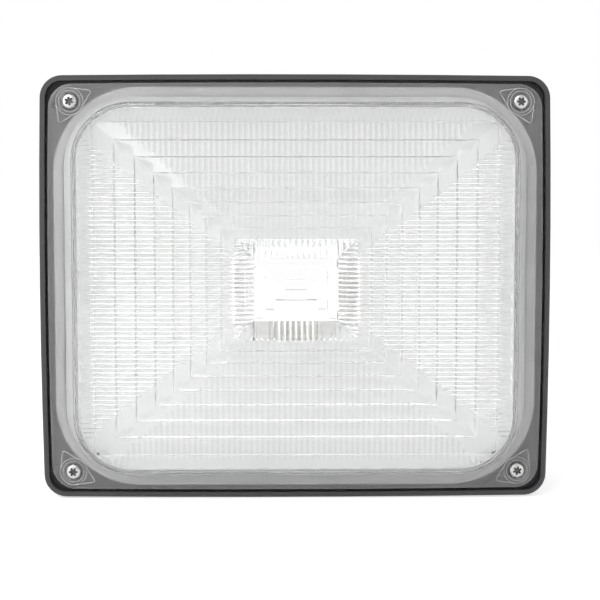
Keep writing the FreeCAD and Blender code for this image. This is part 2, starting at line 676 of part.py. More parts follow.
def latch_tab(side):
    """Tab welded on one lower tongue of the plate, notched from the front for a latch screw."""
    x = side * LATCH_X
    half = LATCH_TAB_WIDTH / 2
    front = LATCH_DEPTH + LATCH_TAB_REACH
    tab = block((x - half, x + half), (PLATE_THICK, front), (LATCH_TAB_BOTTOM, LATCH_TAB_TOP))
    half = LATCH_NOTCH_WIDTH / 2
    notch = block((x - half, x + half), (LATCH_DEPTH, front), (LATCH_TAB_BOTTOM, LATCH_TAB_TOP))
    end = Part.makeCylinder(half, PLATE_THICK, at(x, LATCH_DEPTH, LATCH_TAB_BOTTOM), UP)
    return tab.cut(notch).cut(end)


def hinge_pin(side):
    """Headed pin through one pair of box eyes and the plate lug between them."""
    reach = PLATE_THICK / 2 + HINGE_SIDE_GAP + BOX_EYE_THICK
    outward = RIGHT * side
    start = at(side * (HINGE_X - reach), HINGE_DEPTH, HINGE_Z)
    pin = Part.makeCylinder(HINGE_PIN_RADIUS, 2 * reach, start, outward)
    head = Part.makeCylinder(PIN_HEAD_RADIUS, PIN_HEAD_THICK, start + outward * 2 * reach, outward)
    return pin.fuse(head).removeSplitter()


def reflector():
    """White tray: flat floor round the LED holder and flared sides up to the lens."""
    base = Outline(REFLECTOR_BASE_WIDTH, REFLECTOR_BASE_HEIGHT, REFLECTOR_BASE_CORNER)
    tray = loft((base, REFLECTOR_BACK), (CAVITY.inset(REFLECTOR_TOP_INSET), LEDGE - REFLECTOR_TOP_DROP))
    tray = tray.cut(tray.translated(FORWARD * REFLECTOR_SHEET))
    holes = [post(x, z, M3.shank + PASS_GAP, REFLECTOR_BACK, REFLECTOR_BACK + REFLECTOR_SHEET)
             for x, z in REFLECTOR_SCREWS]
    holes.append(post(0, 0, HOLDER_RADIUS + REFLECTOR_HOLE_GAP, REFLECTOR_BACK,
                      REFLECTOR_BACK + REFLECTOR_SHEET))
    for hole in holes:
        tray = tray.cut(hole)
    return tray


def led_holder():
    """Round clamp over the LED array, with a pocket behind and a flared mouth in front."""
    front = WEB_FRONT + HOLDER_THICK
    half = PAD_SIZE / 2 + HOLDER_POCKET_GAP
    body = post(0, 0, HOLDER_RADIUS, WEB_FRONT, front)
    body = body.cut(block((-half, half), (WEB_FRONT, LED_FRONT), (-half, half)))
    body = body.cut(Part.makeCone(HOLDER_MOUTH_RADIUS, HOLDER_MOUTH_RADIUS + HOLDER_MOUTH_FLARE,
                                  front - LED_FRONT, at(0, LED_FRONT, 0), FORWARD))
    for x, z in HOLDER_SCREWS:
        body = body.cut(post(x, z, M3.shank + PASS_GAP, WEB_FRONT, front))
    return body


def driver_case():
    """Potted power supply with bevelled edges and a screw foot at each end."""
    cover_front = DRIVER_BACK + DRIVER_COVER_THICK
    half = DRIVER_LENGTH / 2
    body = block((-half, half), (cover_front, WEB_BACK),
                 (DRIVER_Z - DRIVER_HEIGHT / 2, DRIVER_Z + DRIVER_HEIGHT / 2))
    body = body.makeFillet(DRIVER_EDGE, depth_edges(body))
    for x, z in DRIVER_SCREWS:
        inner = math.copysign(half - DRIVER_EDGE, x)
        outer = math.copysign(half + DRIVER_FOOT_REACH, x)
        foot = block((inner, outer), (WEB_BACK - DRIVER_FOOT_THICK, WEB_BACK),
                     (z - DRIVER_FOOT_WIDTH / 2, z + DRIVER_FOOT_WIDTH / 2))
        hole = post(x, z, M4.shank + PASS_GAP, WEB_BACK - DRIVER_FOOT_THICK, WEB_BACK)
        body = body.fuse(foot).cut(hole)
    return body.removeSplitter()


def driver_cover():
    """Lid on the back of the power supply, a little larger than the case."""
    half = DRIVER_LENGTH / 2 + DRIVER_COVER_LAP
    rise = DRIVER_HEIGHT / 2 + DRIVER_COVER_LAP
    lid = block((-half, half), (DRIVER_BACK, DRIVER_BACK + DRIVER_COVER_THICK),
                (DRIVER_Z - rise, DRIVER_Z + rise))
    return lid.makeFillet(DRIVER_EDGE + DRIVER_COVER_LAP, depth_edges(lid))


def terminal_block():
    """Moulded block with a well for each clamping screw and two fixing holes."""
    half = BLOCK_LENGTH / 2
    rise = BLOCK_HEIGHT / 2
    body = block((BLOCK_X - half, BLOCK_X + half), (BLOCK_BACK, WEB_BACK), (BLOCK_Z - rise, BLOCK_Z + rise))
    for x, z in TERMINAL_SCREWS:
        seat = BLOCK_BACK + BLOCK_WELL_DEPTH
        well = post(x, z, M3.head + BLOCK_WELL_GAP, BLOCK_BACK, seat)
        thread = post(x, z, M3.shank + TAPPED_GAP, seat, seat + TERMINAL_SCREW_LENGTH + HOLE_RUN_OUT)
        body = body.cut(well.fuse(thread))
    for x, z in BLOCK_SCREWS:
        body = body.cut(post(x, z, M3.shank + PASS_GAP, BLOCK_BACK, WEB_BACK))
    return body


def grommet():
    """Rubber bush in the web, flanged on both sides."""
    back = WEB_BACK - GROMMET_FLANGE_THICK
    front = WEB_FRONT + GROMMET_FLANGE_THICK
    bush = post(LEAD_DROP_X, 0, GROMMET_NECK, back, front)
    bush = bush.fuse(post(LEAD_DROP_X, 0, GROMMET_FLANGE, back, WEB_BACK))
    bush = bush.fuse(post(LEAD_DROP_X, 0, GROMMET_FLANGE, WEB_FRONT, front))
    return bush.cut(post(LEAD_DROP_X, 0, GROMMET_BORE, back, front)).removeSplitter()


def output_lead(layer, z_end):
    """Lead from the right end of the driver, through the grommet, to the LED holder."""
    plane = LEAD_PLANE + layer * LEAD_LAYER
    z_start = DRIVER_Z + LEAD_RISE_Z
    route = [at(DRIVER_LENGTH / 2, plane, z_start), at(LEAD_DROP_X, plane, z_start),
             at(LEAD_DROP_X, plane, z_end), at(LEAD_DROP_X, LEAD_FRONT_PLANE, z_end),
             at(HOLDER_RADIUS, LEAD_FRONT_PLANE, z_end)]
    return bent_rod(route, LEAD_RADIUS, LEAD_BEND)


def input_lead(place):
    """Lead from the left end of the driver down to one pole of the terminal block."""
    z_start = DRIVER_Z + LEAD_RISE_Z - place * INPUT_DROP_PITCH
    drop = -DRIVER_LENGTH / 2 - INPUT_DROP_REACH + place * INPUT_DROP_PITCH
    row = INPUT_ROW_Z + place * INPUT_ROW_PITCH
    route = [at(-DRIVER_LENGTH / 2, LEAD_PLANE, z_start), at(drop, LEAD_PLANE, z_start),
             at(drop, LEAD_PLANE, row), at(BLOCK_POLE_XS[place], LEAD_PLANE, row),
             at(BLOCK_POLE_XS[place], LEAD_PLANE, BLOCK_Z + BLOCK_HEIGHT / 2)]
    return bent_rod(route, LEAD_RADIUS, LEAD_BEND)


def ground_lead():
    """Lead from the last pole to the crimp barrel of the earth terminal."""
    plane = GROUND_SEAT - GROUND_RING_THICK / 2
    block_top = BLOCK_Z + BLOCK_HEIGHT / 2
    barrel_top = BLOCK_Z + GROUND_BARREL_START + GROUND_BARREL_LENGTH
    route = [at(BLOCK_POLE_XS[-1], plane, block_top), at(BLOCK_POLE_XS[-1], plane, INPUT_ROW_Z),
             at(GROUND_X, plane, INPUT_ROW_Z), at(GROUND_X, plane, barrel_top)]
    return bent_rod(route, LEAD_RADIUS, LEAD_BEND)


def ground_terminal():
    """Ring terminal with its crimp barrel."""
    back = GROUND_SEAT - GROUND_RING_THICK
    disc = post(GROUND_X, BLOCK_Z, GROUND_RING_RADIUS, back, GROUND_SEAT)
    barrel = Part.makeCylinder(GROUND_BARREL_RADIUS, GROUND_BARREL_LENGTH,
                               at(GROUND_X, back + GROUND_RING_THICK / 2, BLOCK_Z + GROUND_BARREL_START), UP)
    hole = post(GROUND_X, BLOCK_Z, M4.shank + PASS_GAP, back - GROUND_BARREL_RADIUS,
                GROUND_SEAT + GROUND_BARREL_RADIUS)
    head_room = post(GROUND_X, BLOCK_Z, M4.head + PASS_GAP, back - GROUND_BARREL_RADIUS, back)
    boss_room = post(GROUND_X, BLOCK_Z, GROUND_BOSS_RADIUS + PASS_GAP, GROUND_SEAT,
                     GROUND_SEAT + GROUND_BARREL_RADIUS)
    return disc.fuse(barrel).cut(hole).cut(head_room).cut(boss_room).removeSplitter()


def conduit_plug(side):
    """Slotted plug that closes one conduit entry."""
    outward = RIGHT * side
    inner = at(side * (BOX_WIDTH / 2 - BOX_WALL), ENTRY_DEPTH, 0)
    neck = BOX_WALL + ENTRY_BOSS_RISE + SEAL_THICK
    plug = Part.makeCylinder(ENTRY_RADIUS - PLUG_GAP, neck, inner, outward)
    flange = Part.makeCylinder(PLUG_FLANGE_RADIUS, PLUG_FLANGE_THICK, inner + outward * neck, outward)
    face_x = side * (BOX_WIDTH / 2 - BOX_WALL + neck + PLUG_FLANGE_THICK)
    half = PLUG_SLOT_WIDTH / 2
    groove = block((face_x - side * PLUG_SLOT_DEPTH, face_x),
                   (ENTRY_DEPTH - PLUG_FLANGE_RADIUS, ENTRY_DEPTH + PLUG_FLANGE_RADIUS), (-half, half))
    return plug.fuse(flange).cut(groove).removeSplitter()


def plug_seal(side):
    """Flat rubber ring under the flange of one plug."""
    outward = RIGHT * side
    seat = at(side * (BOX_WIDTH / 2 + ENTRY_BOSS_RISE), ENTRY_DEPTH, 0)
    outer = Part.makeCylinder(PLUG_FLANGE_RADIUS, SEAL_THICK, seat, outward)
    return outer.cut(Part.makeCylinder(ENTRY_RADIUS, SEAL_THICK, seat, outward))


def vent_plug():
    """Breather in the bottom wall: a stem and a cap with grip grooves."""
    floor = at(VENT_X, VENT_DEPTH, -BOX_HEIGHT / 2)
    stem = Part.makeCylinder(VENT_STEM_RADIUS - TAPPED_GAP, BOX_WALL, floor, UP)
    cap = Part.makeCylinder(VENT_CAP_RADIUS, VENT_CAP_THICK, floor, DOWN)
    half = VENT_GROOVE_WIDTH / 2
    grooves = []
    for k in range(VENT_GROOVES):
        bar = block((VENT_X + VENT_CAP_RADIUS - VENT_GROOVE_SINK, VENT_X + VENT_CAP_RADIUS),
                    (VENT_DEPTH - half, VENT_DEPTH + half),
                    (-BOX_HEIGHT / 2 - VENT_CAP_THICK, -BOX_HEIGHT / 2))
        bar.rotate(floor, UP, 360 * k / VENT_GROOVES)
        grooves.append(bar)
    return cap.cut(Part.makeCompound(grooves)).fuse(stem).removeSplitter()


def square(size, back, front):
    """Square plate centred on the light's axis."""
    return block((-size / 2, size / 2), (back, front), (-size / 2, size / 2))


os.makedirs("parts", exist_ok=True)

save("mounting_plate", mounting_plate())
save("hinge_lugs", *[hinge_lug(side) for side in SIDES])
save("latch_tabs", *[latch_tab(side) for side in SIDES])
save("plate_gasket", ring(BOX, BOX.inset(PLATE_GASKET_BAND), PLATE_THICK, BOX_BACK))
save("rear_housing", rear_housing())
save("hinge_pins", *[hinge_pin(side) for side in SIDES])
save("latch_screws", *[screw(M4, LATCH_SCREW_LENGTH, at(side * LATCH_X, LATCH_DEPTH, LATCH_HEAD_Z), DOWN)
                       for side in SIDES])
save("seam_gasket", ring(BOX, BOX.inset(SEAM_GASKET_BAND), BOX_FRONT, WEB_BACK))
save("housing_screws", *screws(M4, BOX_SCREW_LENGTH, BOX_SCREWS, BOX_FRONT - BOX_FLANGE_THICK, BACKWARD))
save("front_housing", front_housing())
save("lens", lens())
save("lens_gasket", ring(GASKET, GASKET.inset(GASKET_BAND), LEDGE, FLANGE_BACK))
save("lens_screws", *screws(M4, LENS_SCREW_LENGTH, LENS_SCREWS, FLANGE_FRONT - SEAT_SINK, FORWARD))
save("reflector", reflector())
save("reflector_screws", *screws(M3, REFLECTOR_SCREW_LENGTH, REFLECTOR_SCREWS,
                                 REFLECTOR_BACK + REFLECTOR_SHEET, FORWARD))
save("thermal_pad", square(PAD_SIZE, WEB_FRONT, LED_BACK))
save("led_module", square(PAD_SIZE, LED_BACK, LED_FRONT))
save("led_phosphor", post(0, 0, PHOSPHOR_RADIUS, LED_FRONT, LED_FRONT + PHOSPHOR_THICK))
save("led_holder", led_holder())
save("holder_screws", *screws(M3, HOLDER_SCREW_LENGTH, HOLDER_SCREWS, WEB_FRONT + HOLDER_THICK, FORWARD))
save("driver_case", driver_case())
save("driver_cover", driver_cover())
save("driver_screws", *screws(M4, DRIVER_SCREW_LENGTH, DRIVER_SCREWS, WEB_BACK - DRIVER_FOOT_THICK, BACKWARD))
save("terminal_block", terminal_block())
save("block_screws", *screws(M3, BLOCK_SCREW_LENGTH, BLOCK_SCREWS, BLOCK_BACK, BACKWARD))
save("terminal_screws", *screws(M3, TERMINAL_SCREW_LENGTH, TERMINAL_SCREWS,
                                BLOCK_BACK + BLOCK_WELL_DEPTH, BACKWARD))
save("lead_positive", output_lead(0, -LEAD_SPACING / 2))
save("lead_negative", output_lead(1, LEAD_SPACING / 2))
save("lead_live", input_lead(0))
save("lead_neutral", input_lead(1))
save("lead_ground", ground_lead())
save("lead_grommet", grommet())
save("ground_terminal", ground_terminal())
save("ground_screw", *screws(M4, GROUND_SCREW_LENGTH, [(GROUND_X, BLOCK_Z)],
                             GROUND_SEAT - GROUND_RING_THICK, BACKWARD))
save("conduit_plugs", *[conduit_plug(side) for side in SIDES])
save("plug_seals", *[plug_seal(side) for side in SIDES])
save("vent_plug", vent_plug())
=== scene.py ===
"""LED canopy light, dressed for the camera.

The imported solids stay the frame. The clear prism cover and the screws that show are built here in
finer detail, and every solid gets a finish of its own. Lengths are in metres: +X is right, +Z is up
and the cover faces -Y.
"""
import json
import logging
import math
from collections.abc import Sequence
from dataclasses import dataclass, field
from enum import Enum

import bmesh
import bpy
from bmesh.types import BMesh, BMVert
from bpy.types import Material, Mesh, Node, NodeSocket, Object
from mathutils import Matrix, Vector


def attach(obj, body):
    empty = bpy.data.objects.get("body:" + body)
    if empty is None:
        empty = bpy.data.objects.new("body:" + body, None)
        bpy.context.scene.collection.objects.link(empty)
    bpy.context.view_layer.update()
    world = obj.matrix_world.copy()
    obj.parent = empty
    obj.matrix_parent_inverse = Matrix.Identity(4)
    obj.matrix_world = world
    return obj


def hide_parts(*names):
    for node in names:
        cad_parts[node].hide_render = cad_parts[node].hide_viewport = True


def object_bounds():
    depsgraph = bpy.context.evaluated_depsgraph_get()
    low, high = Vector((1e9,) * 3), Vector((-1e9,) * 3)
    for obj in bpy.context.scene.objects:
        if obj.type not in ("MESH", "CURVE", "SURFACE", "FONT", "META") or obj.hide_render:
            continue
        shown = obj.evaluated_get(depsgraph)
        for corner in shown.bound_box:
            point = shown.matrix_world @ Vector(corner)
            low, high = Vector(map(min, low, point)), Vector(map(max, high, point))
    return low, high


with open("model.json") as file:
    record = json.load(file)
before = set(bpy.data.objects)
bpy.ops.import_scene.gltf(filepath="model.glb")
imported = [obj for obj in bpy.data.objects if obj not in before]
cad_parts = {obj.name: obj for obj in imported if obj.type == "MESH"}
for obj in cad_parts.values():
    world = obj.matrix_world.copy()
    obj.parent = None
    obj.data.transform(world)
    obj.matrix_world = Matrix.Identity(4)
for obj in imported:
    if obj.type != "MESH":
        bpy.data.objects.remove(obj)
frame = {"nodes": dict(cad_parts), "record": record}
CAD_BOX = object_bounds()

log = logging.getLogger("canopy_light")

MM = 0.001
BODY = "light"
SCREW_SPAN = (211.0 * MM, 174.5 * MM)
QUARTERS = ((1, 1), (-1, 1), (-1, -1), (1, -1))
LEAST_CORNER = 1.0 * MM
WHITE = (1.0, 1.0, 1.0, 1.0)

Colour = tuple[float, float, float]
Half = tuple[float, float]
Point = tuple[float, float, float]
Loop = list[BMVert]
Row = list[tuple[float, BMVert]]
Feed = NodeSocket | float | str | Sequence[float]


class Tree:
    """Node tree that is built node by node."""

    def __init__(self, tree: bpy.types.NodeTree) -> None:
        """Start from an empty tree or one with nodes."""
        self.tree = tree

    def feed(self, node: Node, inputs: dict[str | int, Feed]) -> None:
        """Link sockets to a node's inputs, or set their values.

        Args:
            node: The node.
            inputs: Socket or value for each input, by the input's name or number.
        """
        for name, value in inputs.items():
            if isinstance(value, NodeSocket):
                self.tree.links.new(value, node.inputs[name])
            else:
                node.inputs[name].default_value = value

    def node(self, kind: str, inputs: dict[str | int, Feed] | None = None, **settings: str) -> Node:
        """Add a node.

        Args:
            kind: Kind of node.
            inputs: Socket or value for each of its inputs, by the input's name or number.
            settings: Values of the node's own settings.

        Returns:
            The node.
        """
        made = self.tree.nodes.new(kind)
        for name, value in settings.items():
            setattr(made, name, value)
        self.feed(made, inputs or {})
        return made

    def math(self, operation: str, first: NodeSocket, second: NodeSocket | float) -> NodeSocket:
        """Return the result of an operation on two values."""
        return self.node("ShaderNodeMath", {0: first, 1: second}, operation=operation).outputs[0]

    def seen(self) -> NodeSocket:
        """Make a value that is 1 for rays that show the background.

        Returns:
            The value's socket.
        """
        path = self.node("ShaderNodeLightPath")
        total = path.outputs["Is Camera Ray"]
        for label in ("Is Glossy Ray", "Is Transmission Ray"):
            total = self.math("MAXIMUM", total, path.outputs[label])
        return total


class Shader(Tree):
    """Node tree of one material round one principled surface.

    Attributes:
        TROUGH: Noise value below which a drift over the piece is at its low end.
        PEAK: Noise value above which it is at its high end.
    """

    TROUGH = 0.3
    PEAK = 0.7

    def __init__(self, name: str) -> None:
        """Start a material with its surface and its place on the piece.

        Args:
            name: Name of the material.
        """
        self.material = bpy.data.materials.new(name)
        self.material.use_nodes = True
        super().__init__(self.material.node_tree)
        self.tree.nodes.clear()
        self.surface = self.node("ShaderNodeBsdfPrincipled")
        self.node("ShaderNodeOutputMaterial", {"Surface": self.surface.outputs["BSDF"]})
        self.place = self.node("ShaderNodeTexCoord").outputs["Object"]

    def set(self, **inputs: Feed) -> None:
        """Feed the surface's own sockets, named with underscores for spaces."""
        self.feed(self.surface, {name.replace("_", " "): value for name, value in inputs.items()})

    def noise(self, size: float, stretch: Point = (1.0, 1.0, 1.0)) -> NodeSocket:
        """Make noise that lies on the piece.

        Args:
            size: Width of its patches.
            stretch: Share of the pattern's rate along each axis.

        Returns:
            The noise's value, from 0 to 1.
        """
        rate = [share / size for share in stretch]
        mapping = self.node("ShaderNodeMapping", {"Vector": self.place, "Scale": rate})
        noise = self.node("ShaderNodeTexNoise", {"Vector": mapping.outputs["Vector"], "Scale": 1.0})
        return noise.outputs[0]

    def span(self, source: NodeSocket, mean: float, drift: float) -> NodeSocket:
        """Spread a noise value about a mean.

        Args:
            source: Noise value.
            mean: Mean value.
            drift: Amount by which it drifts either way.

        Returns:
            The drifting value.
        """
        spread = self.node("ShaderNodeMapRange", {
            "Value": source, "From Min": self.TROUGH, "From Max": self.PEAK,
            "To Min": mean - drift, "To Max": mean + drift})
        return spread.outputs["Result"]

    def mix(self, source: NodeSocket, first: Colour, second: Colour) -> NodeSocket:
        """Blend two colours by a noise value.

        Args:
            source: Noise value.
            first: Colour in the noise's troughs.
            second: Colour on its peaks.

        Returns:
            The blended colour.
        """
        ramp = self.node("ShaderNodeValToRGB", {"Fac": source})
        for stop, place, colour in zip(ramp.color_ramp.elements, (self.TROUGH, self.PEAK), (first, second)):
            stop.position = place
            stop.color = (*colour, 1.0)
        return ramp.outputs["Color"]

    def relief(self, source: NodeSocket, depth: float) -> None:
        """Raise the surface by a noise value, up to a height."""
        bump = self.node("ShaderNodeBump", {"Height": source, "Strength": 1.0, "Distance": depth})
        self.set(Normal=bump.outputs["Normal"])


class Grain(Enum):
    """How the fine relief of a finish lies, as its rate along each axis."""

    EVEN = (1.0, 1.0, 1.0)
    ROLLED = (0.06, 1.0, 1.0)


@dataclass(frozen=True)
class Finish:
    """Opaque finish whose colour and gloss drift over the piece, with a fine relief.

    Attributes:
        name: Name of the material.
        colour: Mean colour.
        roughness: Mean roughness.
        metal: 1 for bare metal.
        drift: Share by which the colour drifts either way.
        uneven: Amount by which the roughness drifts either way.
        patch: Width of the patches of colour.
        gloss_rate: Patches of gloss to one of colour.
        grain: Width of the relief's grains.
        depth: Height of the relief.
        lie: How the relief lies.
        coat: Weight of a clear gloss coat.
    """

    name: str
    colour: Colour
    roughness: float
    metal: float = 0.0
    drift: float = 0.08
    uneven: float = 0.06
    patch: float = 14 * MM
    gloss_rate: float = 3.0
    grain: float = 0.6 * MM
    depth: float = 0.02 * MM
    lie: Grain = Grain.EVEN
    coat: float = 0.0

    def material(self) -> Material:
        """Make the finish.

        Returns:
            Its material.
        """
        shader = Shader(self.name)
        dark, light = (tuple(c * (1 + sign * self.drift) for c in self.colour) for sign in (-1, 1))
        gloss = shader.noise(self.patch / self.gloss_rate, self.lie.value)
        shader.set(Base_Color=shader.mix(shader.noise(self.patch), dark, light),
                   Roughness=shader.span(gloss, self.roughness, self.uneven),
                   Metallic=self.metal, Coat_Weight=self.coat)
        shader.relief(shader.noise(self.grain, self.lie.value), self.depth)
        return shader.material


@dataclass(frozen=True)
class ClearFinish:
    """Clear moulded plastic.

    Attributes:
        name: Name of the material.
        tint: Colour of the light that passes.
        roughness: Mean roughness.
        uneven: Amount by which the roughness drifts either way.
        haze: Share of the light that the plastic scatters.
        bend: Index of refraction.
        patch: Width of the patches of gloss.
        grain: Width of the relief's grains.
        depth: Height of the relief.
    """

    name: str
    tint: Colour
    roughness: float
    uneven: float
    haze: float = 0.0
    bend: float = 1.585
    patch: float = 30 * MM
    grain: float = 8 * MM
    depth: float = 0.004 * MM

    def material(self) -> Material:
        """Make the finish.

        Returns:
            Its material.
        """
        shader = Shader(self.name)
        shader.set(Base_Color=(*self.tint, 1.0), Transmission_Weight=1 - self.haze, IOR=self.bend,
                   Roughness=shader.span(shader.noise(self.patch), self.roughness, self.uneven))
        shader.relief(shader.noise(self.grain), self.depth)
        return shader.material


FINISHES: dict[str, Finish] = {
    "dark_paint": Finish("dark powder coat", (0.03, 0.03, 0.032), 0.5, grain=0.45 * MM, depth=0.03 * MM),
    "zinc_steel": Finish("zinc plated steel", (0.62, 0.63, 0.64), 0.36, 1.0, patch=5 * MM,
                         lie=Grain.ROLLED),
    "silicone": Finish("light grey silicone", (0.49, 0.49, 0.49), 0.62),
    "black_rubber": Finish("black rubber", (0.03, 0.03, 0.03), 0.7),
    "stainless": Finish("stainless steel", (0.5, 0.5, 0.49), 0.3, 1.0, patch=3 * MM, grain=0.25 * MM,
                        depth=0.004 * MM),
    "reflector_white": Finish("gloss white sheet", (0.94, 0.94, 0.94), 0.4, drift=0.01, grain=1.5 * MM),
    "thermal_grey": Finish("thermal pad", (0.42, 0.44, 0.47), 0.75),
    "led_ceramic": Finish("white ceramic", (0.82, 0.82, 0.8), 0.45),
    "phosphor": Finish("phosphor under silicone", (0.34, 0.325, 0.28), 0.3, coat=0.5),
    "holder_plastic": Finish("white moulded holder", (0.8, 0.8, 0.78), 0.5),
    "driver_black": Finish("black driver case", (0.035, 0.035, 0.037), 0.55, depth=0.04 * MM),
    "driver_lid": Finish("driver lid sheet", (0.66, 0.67, 0.68), 0.38, 1.0, lie=Grain.ROLLED),
    "block_plastic": Finish("natural nylon", (0.68, 0.65, 0.56), 0.5),
    "brass": Finish("tinned brass", (0.7, 0.56, 0.3), 0.3, 1.0, patch=3 * MM),
    "lead_red": Finish("red insulation", (0.42, 0.02, 0.016), 0.4),
    "lead_black": Finish("black insulation", (0.02, 0.02, 0.02), 0.4),
    "lead_white": Finish("white insulation", (0.74, 0.74, 0.72), 0.4),
    "lead_green": Finish("green insulation", (0.03, 0.24, 0.05), 0.4),
    "vent_plastic": Finish("black breather", (0.025, 0.025, 0.027), 0.5),
}


class Clear(Enum):
    """Parts of the clear cover that differ in their surface, as material numbers."""

    FACE = 0
    WALL = 1
    FLANGE = 2
    FOOT = 3


CLEAR_FINISHES: dict[Clear, ClearFinish] = {
    Clear.FACE: ClearFinish("clear cover", (0.985, 0.99, 0.99), 0.02, 0.015),
    Clear.WALL: ClearFinish("stippled cover wall", (0.985, 0.99, 0.99), 0.4, 0.08, haze=0.3, grain=0.7 * MM,
                            depth=0.05 * MM),
    Clear.FLANGE: ClearFinish("satin cover flange", (0.98, 0.98, 0.98), 0.4, 0.05, haze=0.03),
    Clear.FOOT: ClearFinish("frosted cover foot", (0.98, 0.98, 0.98), 0.5, 0.1, haze=0.3),
}
BEAD_FINISH = ClearFinish("frosted bead", (0.98, 0.98, 0.98), 0.4, 0.05, haze=0.4)
# Dark metal for the walls and floor of each screw's socket: painted shade that stands in for the shade
# falling in the recess.
SOCKET_PAINTED_SHADE = Finish("painted shade in socket", (0.1, 0.1, 0.1), 0.5, 1.0, patch=2 * MM, grain=0.25 * MM,
                       depth=0.004 * MM)


def add_object(name: str, data: bpy.types.ID) -> Object:
    """Add an object at the origin.

    Args:
        name: Its name.
        data: Its mesh, lamp or camera.

    Returns:
        The object.
    """
    made = bpy.data.objects.new(name, data)
    bpy.context.scene.collection.objects.link(made)
    return made


def finished(mesh: BMesh, name: str) -> Mesh:
    """Turn an edited mesh into a plain one.

    Args:
        mesh: The edited mesh, which is freed.
        name: Name of the plain one.

    Returns:
        The plain mesh.
    """
    made = bpy.data.meshes.new(name)
    mesh.to_mesh(made)
    mesh.free()
    return made


def band(mesh: BMesh, low: Loop, high: Loop, part: int = 0) -> None:
    """Close the band between two closed rows of points.

    Args:
        mesh: Mesh that takes the faces.
        low: Points of one row.
        high: As many points of the other row.
        part: Material number of the faces.
    """
    for corners in zip(low, [*low[1:], low[0]], [*high[1:], high[0]], high):
        mesh.faces.new(corners).material_index = part


def fan(mesh: BMesh, row: Loop, tip: BMVert) -> None:
    """Close a closed row of points to a tip."""
    for first, second in zip(row, [*row[1:], row[0]]):
        mesh.faces.new((first, second, tip))


class ShapeTree(Tree):
    """Geometry node tree with named inputs, for one piece."""

    def __init__(self, name: str, sizes: dict[str, float]) -> None:
        """Start a tree with a geometry, a material and size inputs.

        Args:
            name: Name of the tree.
            sizes: Value of each size input, by its name.
        """
        super().__init__(bpy.data.node_groups.new(name, "GeometryNodeTree"))
        face = self.tree.interface
        face.new_socket("Geometry", in_out="INPUT", socket_type="NodeSocketGeometry")
        self.finish = face.new_socket("Finish", in_out="INPUT", socket_type="NodeSocketMaterial")
        self.values: dict[str, float] = {}
        for label, value in sizes.items():
            socket = face.new_socket(label, in_out="INPUT", socket_type="NodeSocketFloat")
            self.values[socket.identifier] = value
        face.new_socket("Geometry", in_out="OUTPUT", socket_type="NodeSocketGeometry")
        self.start = self.node("NodeGroupInput")

    def given(self, label: str) -> NodeSocket:
        """Return the socket of one of the tree's inputs."""
        return self.start.outputs[label]

    def attribute(self, name: str) -> NodeSocket:
        """Return the value that a mesh's points carry under a name."""
        return self.node("GeometryNodeInputNamedAttribute", {"Name": name}, data_type="FLOAT").outputs[0]

    def forward(self, depth: NodeSocket) -> NodeSocket:
        """Return the vector that leads a depth towards the front."""
        return self.node("ShaderNodeCombineXYZ", {"Y": self.math("MULTIPLY", depth, -1.0)}).outputs[0]

    def close(self, geometry: NodeSocket) -> None:
        """End the tree in plain geometry with the finish on it.

        Args:
            geometry: Last geometry of the tree.
        """
        plain = self.node("GeometryNodeRealizeInstances", {"Geometry": geometry})
        painted = self.node("GeometryNodeSetMaterial", {"Geometry": plain.outputs[0],
                                                        "Material": self.given("Finish")})
        self.node("NodeGroupOutput", {"Geometry": painted.outputs[0]})

    def apply(self, mesh: Mesh, finish: Material) -> Mesh:
        """Run the tree on a mesh.

        Args:
            mesh: Geometry that goes in.
            finish: Material that the tree sets.

        Returns:
            The result as a plain mesh.
        """
        carrier = add_object(f"{self.tree.name} carrier", mesh)
        modifier = carrier.modifiers.new(self.tree.name, "NODES")
        modifier.node_group = self.tree
        modifier[self.finish.identifier] = finish
        for identifier, value in self.values.items():
            modifier[identifier] = value
        graph = bpy.context.evaluated_depsgraph_get()
        result = bpy.data.meshes.new_from_object(carrier.evaluated_get(graph))
        carrier.modifiers.remove(modifier)
        bpy.data.objects.remove(carrier)
        result.materials.clear()
        result.materials.append(finish)
        return result


def add_piece(name: str, mesh: Mesh, node: str) -> Object:
    """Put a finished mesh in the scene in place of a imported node.

    Args:
        name: Name of the piece.
        mesh: Its mesh, in place.
        node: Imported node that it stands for.

    Returns:
        The piece's object.
    """
    piece = add_object(name, mesh)
    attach(piece, BODY)
    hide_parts(node)
    log.info("%s: %d faces in place of %s", name, len(mesh.polygons), node)
    return piece


def smoothstep(value: float) -> float:
    """Return a smooth step from 0 to 1."""
    value = min(max(value, 0.0), 1.0)
    return value * value * (3 - 2 * value)


class Side(Enum):
    """Sides of a prism ring, as quarter turns of its top side."""

    TOP = 0
    RIGHT = 1
    BOTTOM = 2
    LEFT = 3

    def place(self, along: float, out: float, depth: float) -> Vector:
        """Return the point at a distance along this side, at a distance out and at a depth."""
        x, z = ((along, out), (out, -along), (-along, -out), (-out, along))[self.value]
        return Vector((x, -depth, z))

    def spans(self, half: Half) -> Half:
        """Return a rectangle's half length along this side and its distance out."""
        return half if self in (Side.TOP, Side.BOTTOM) else (half[1], half[0])


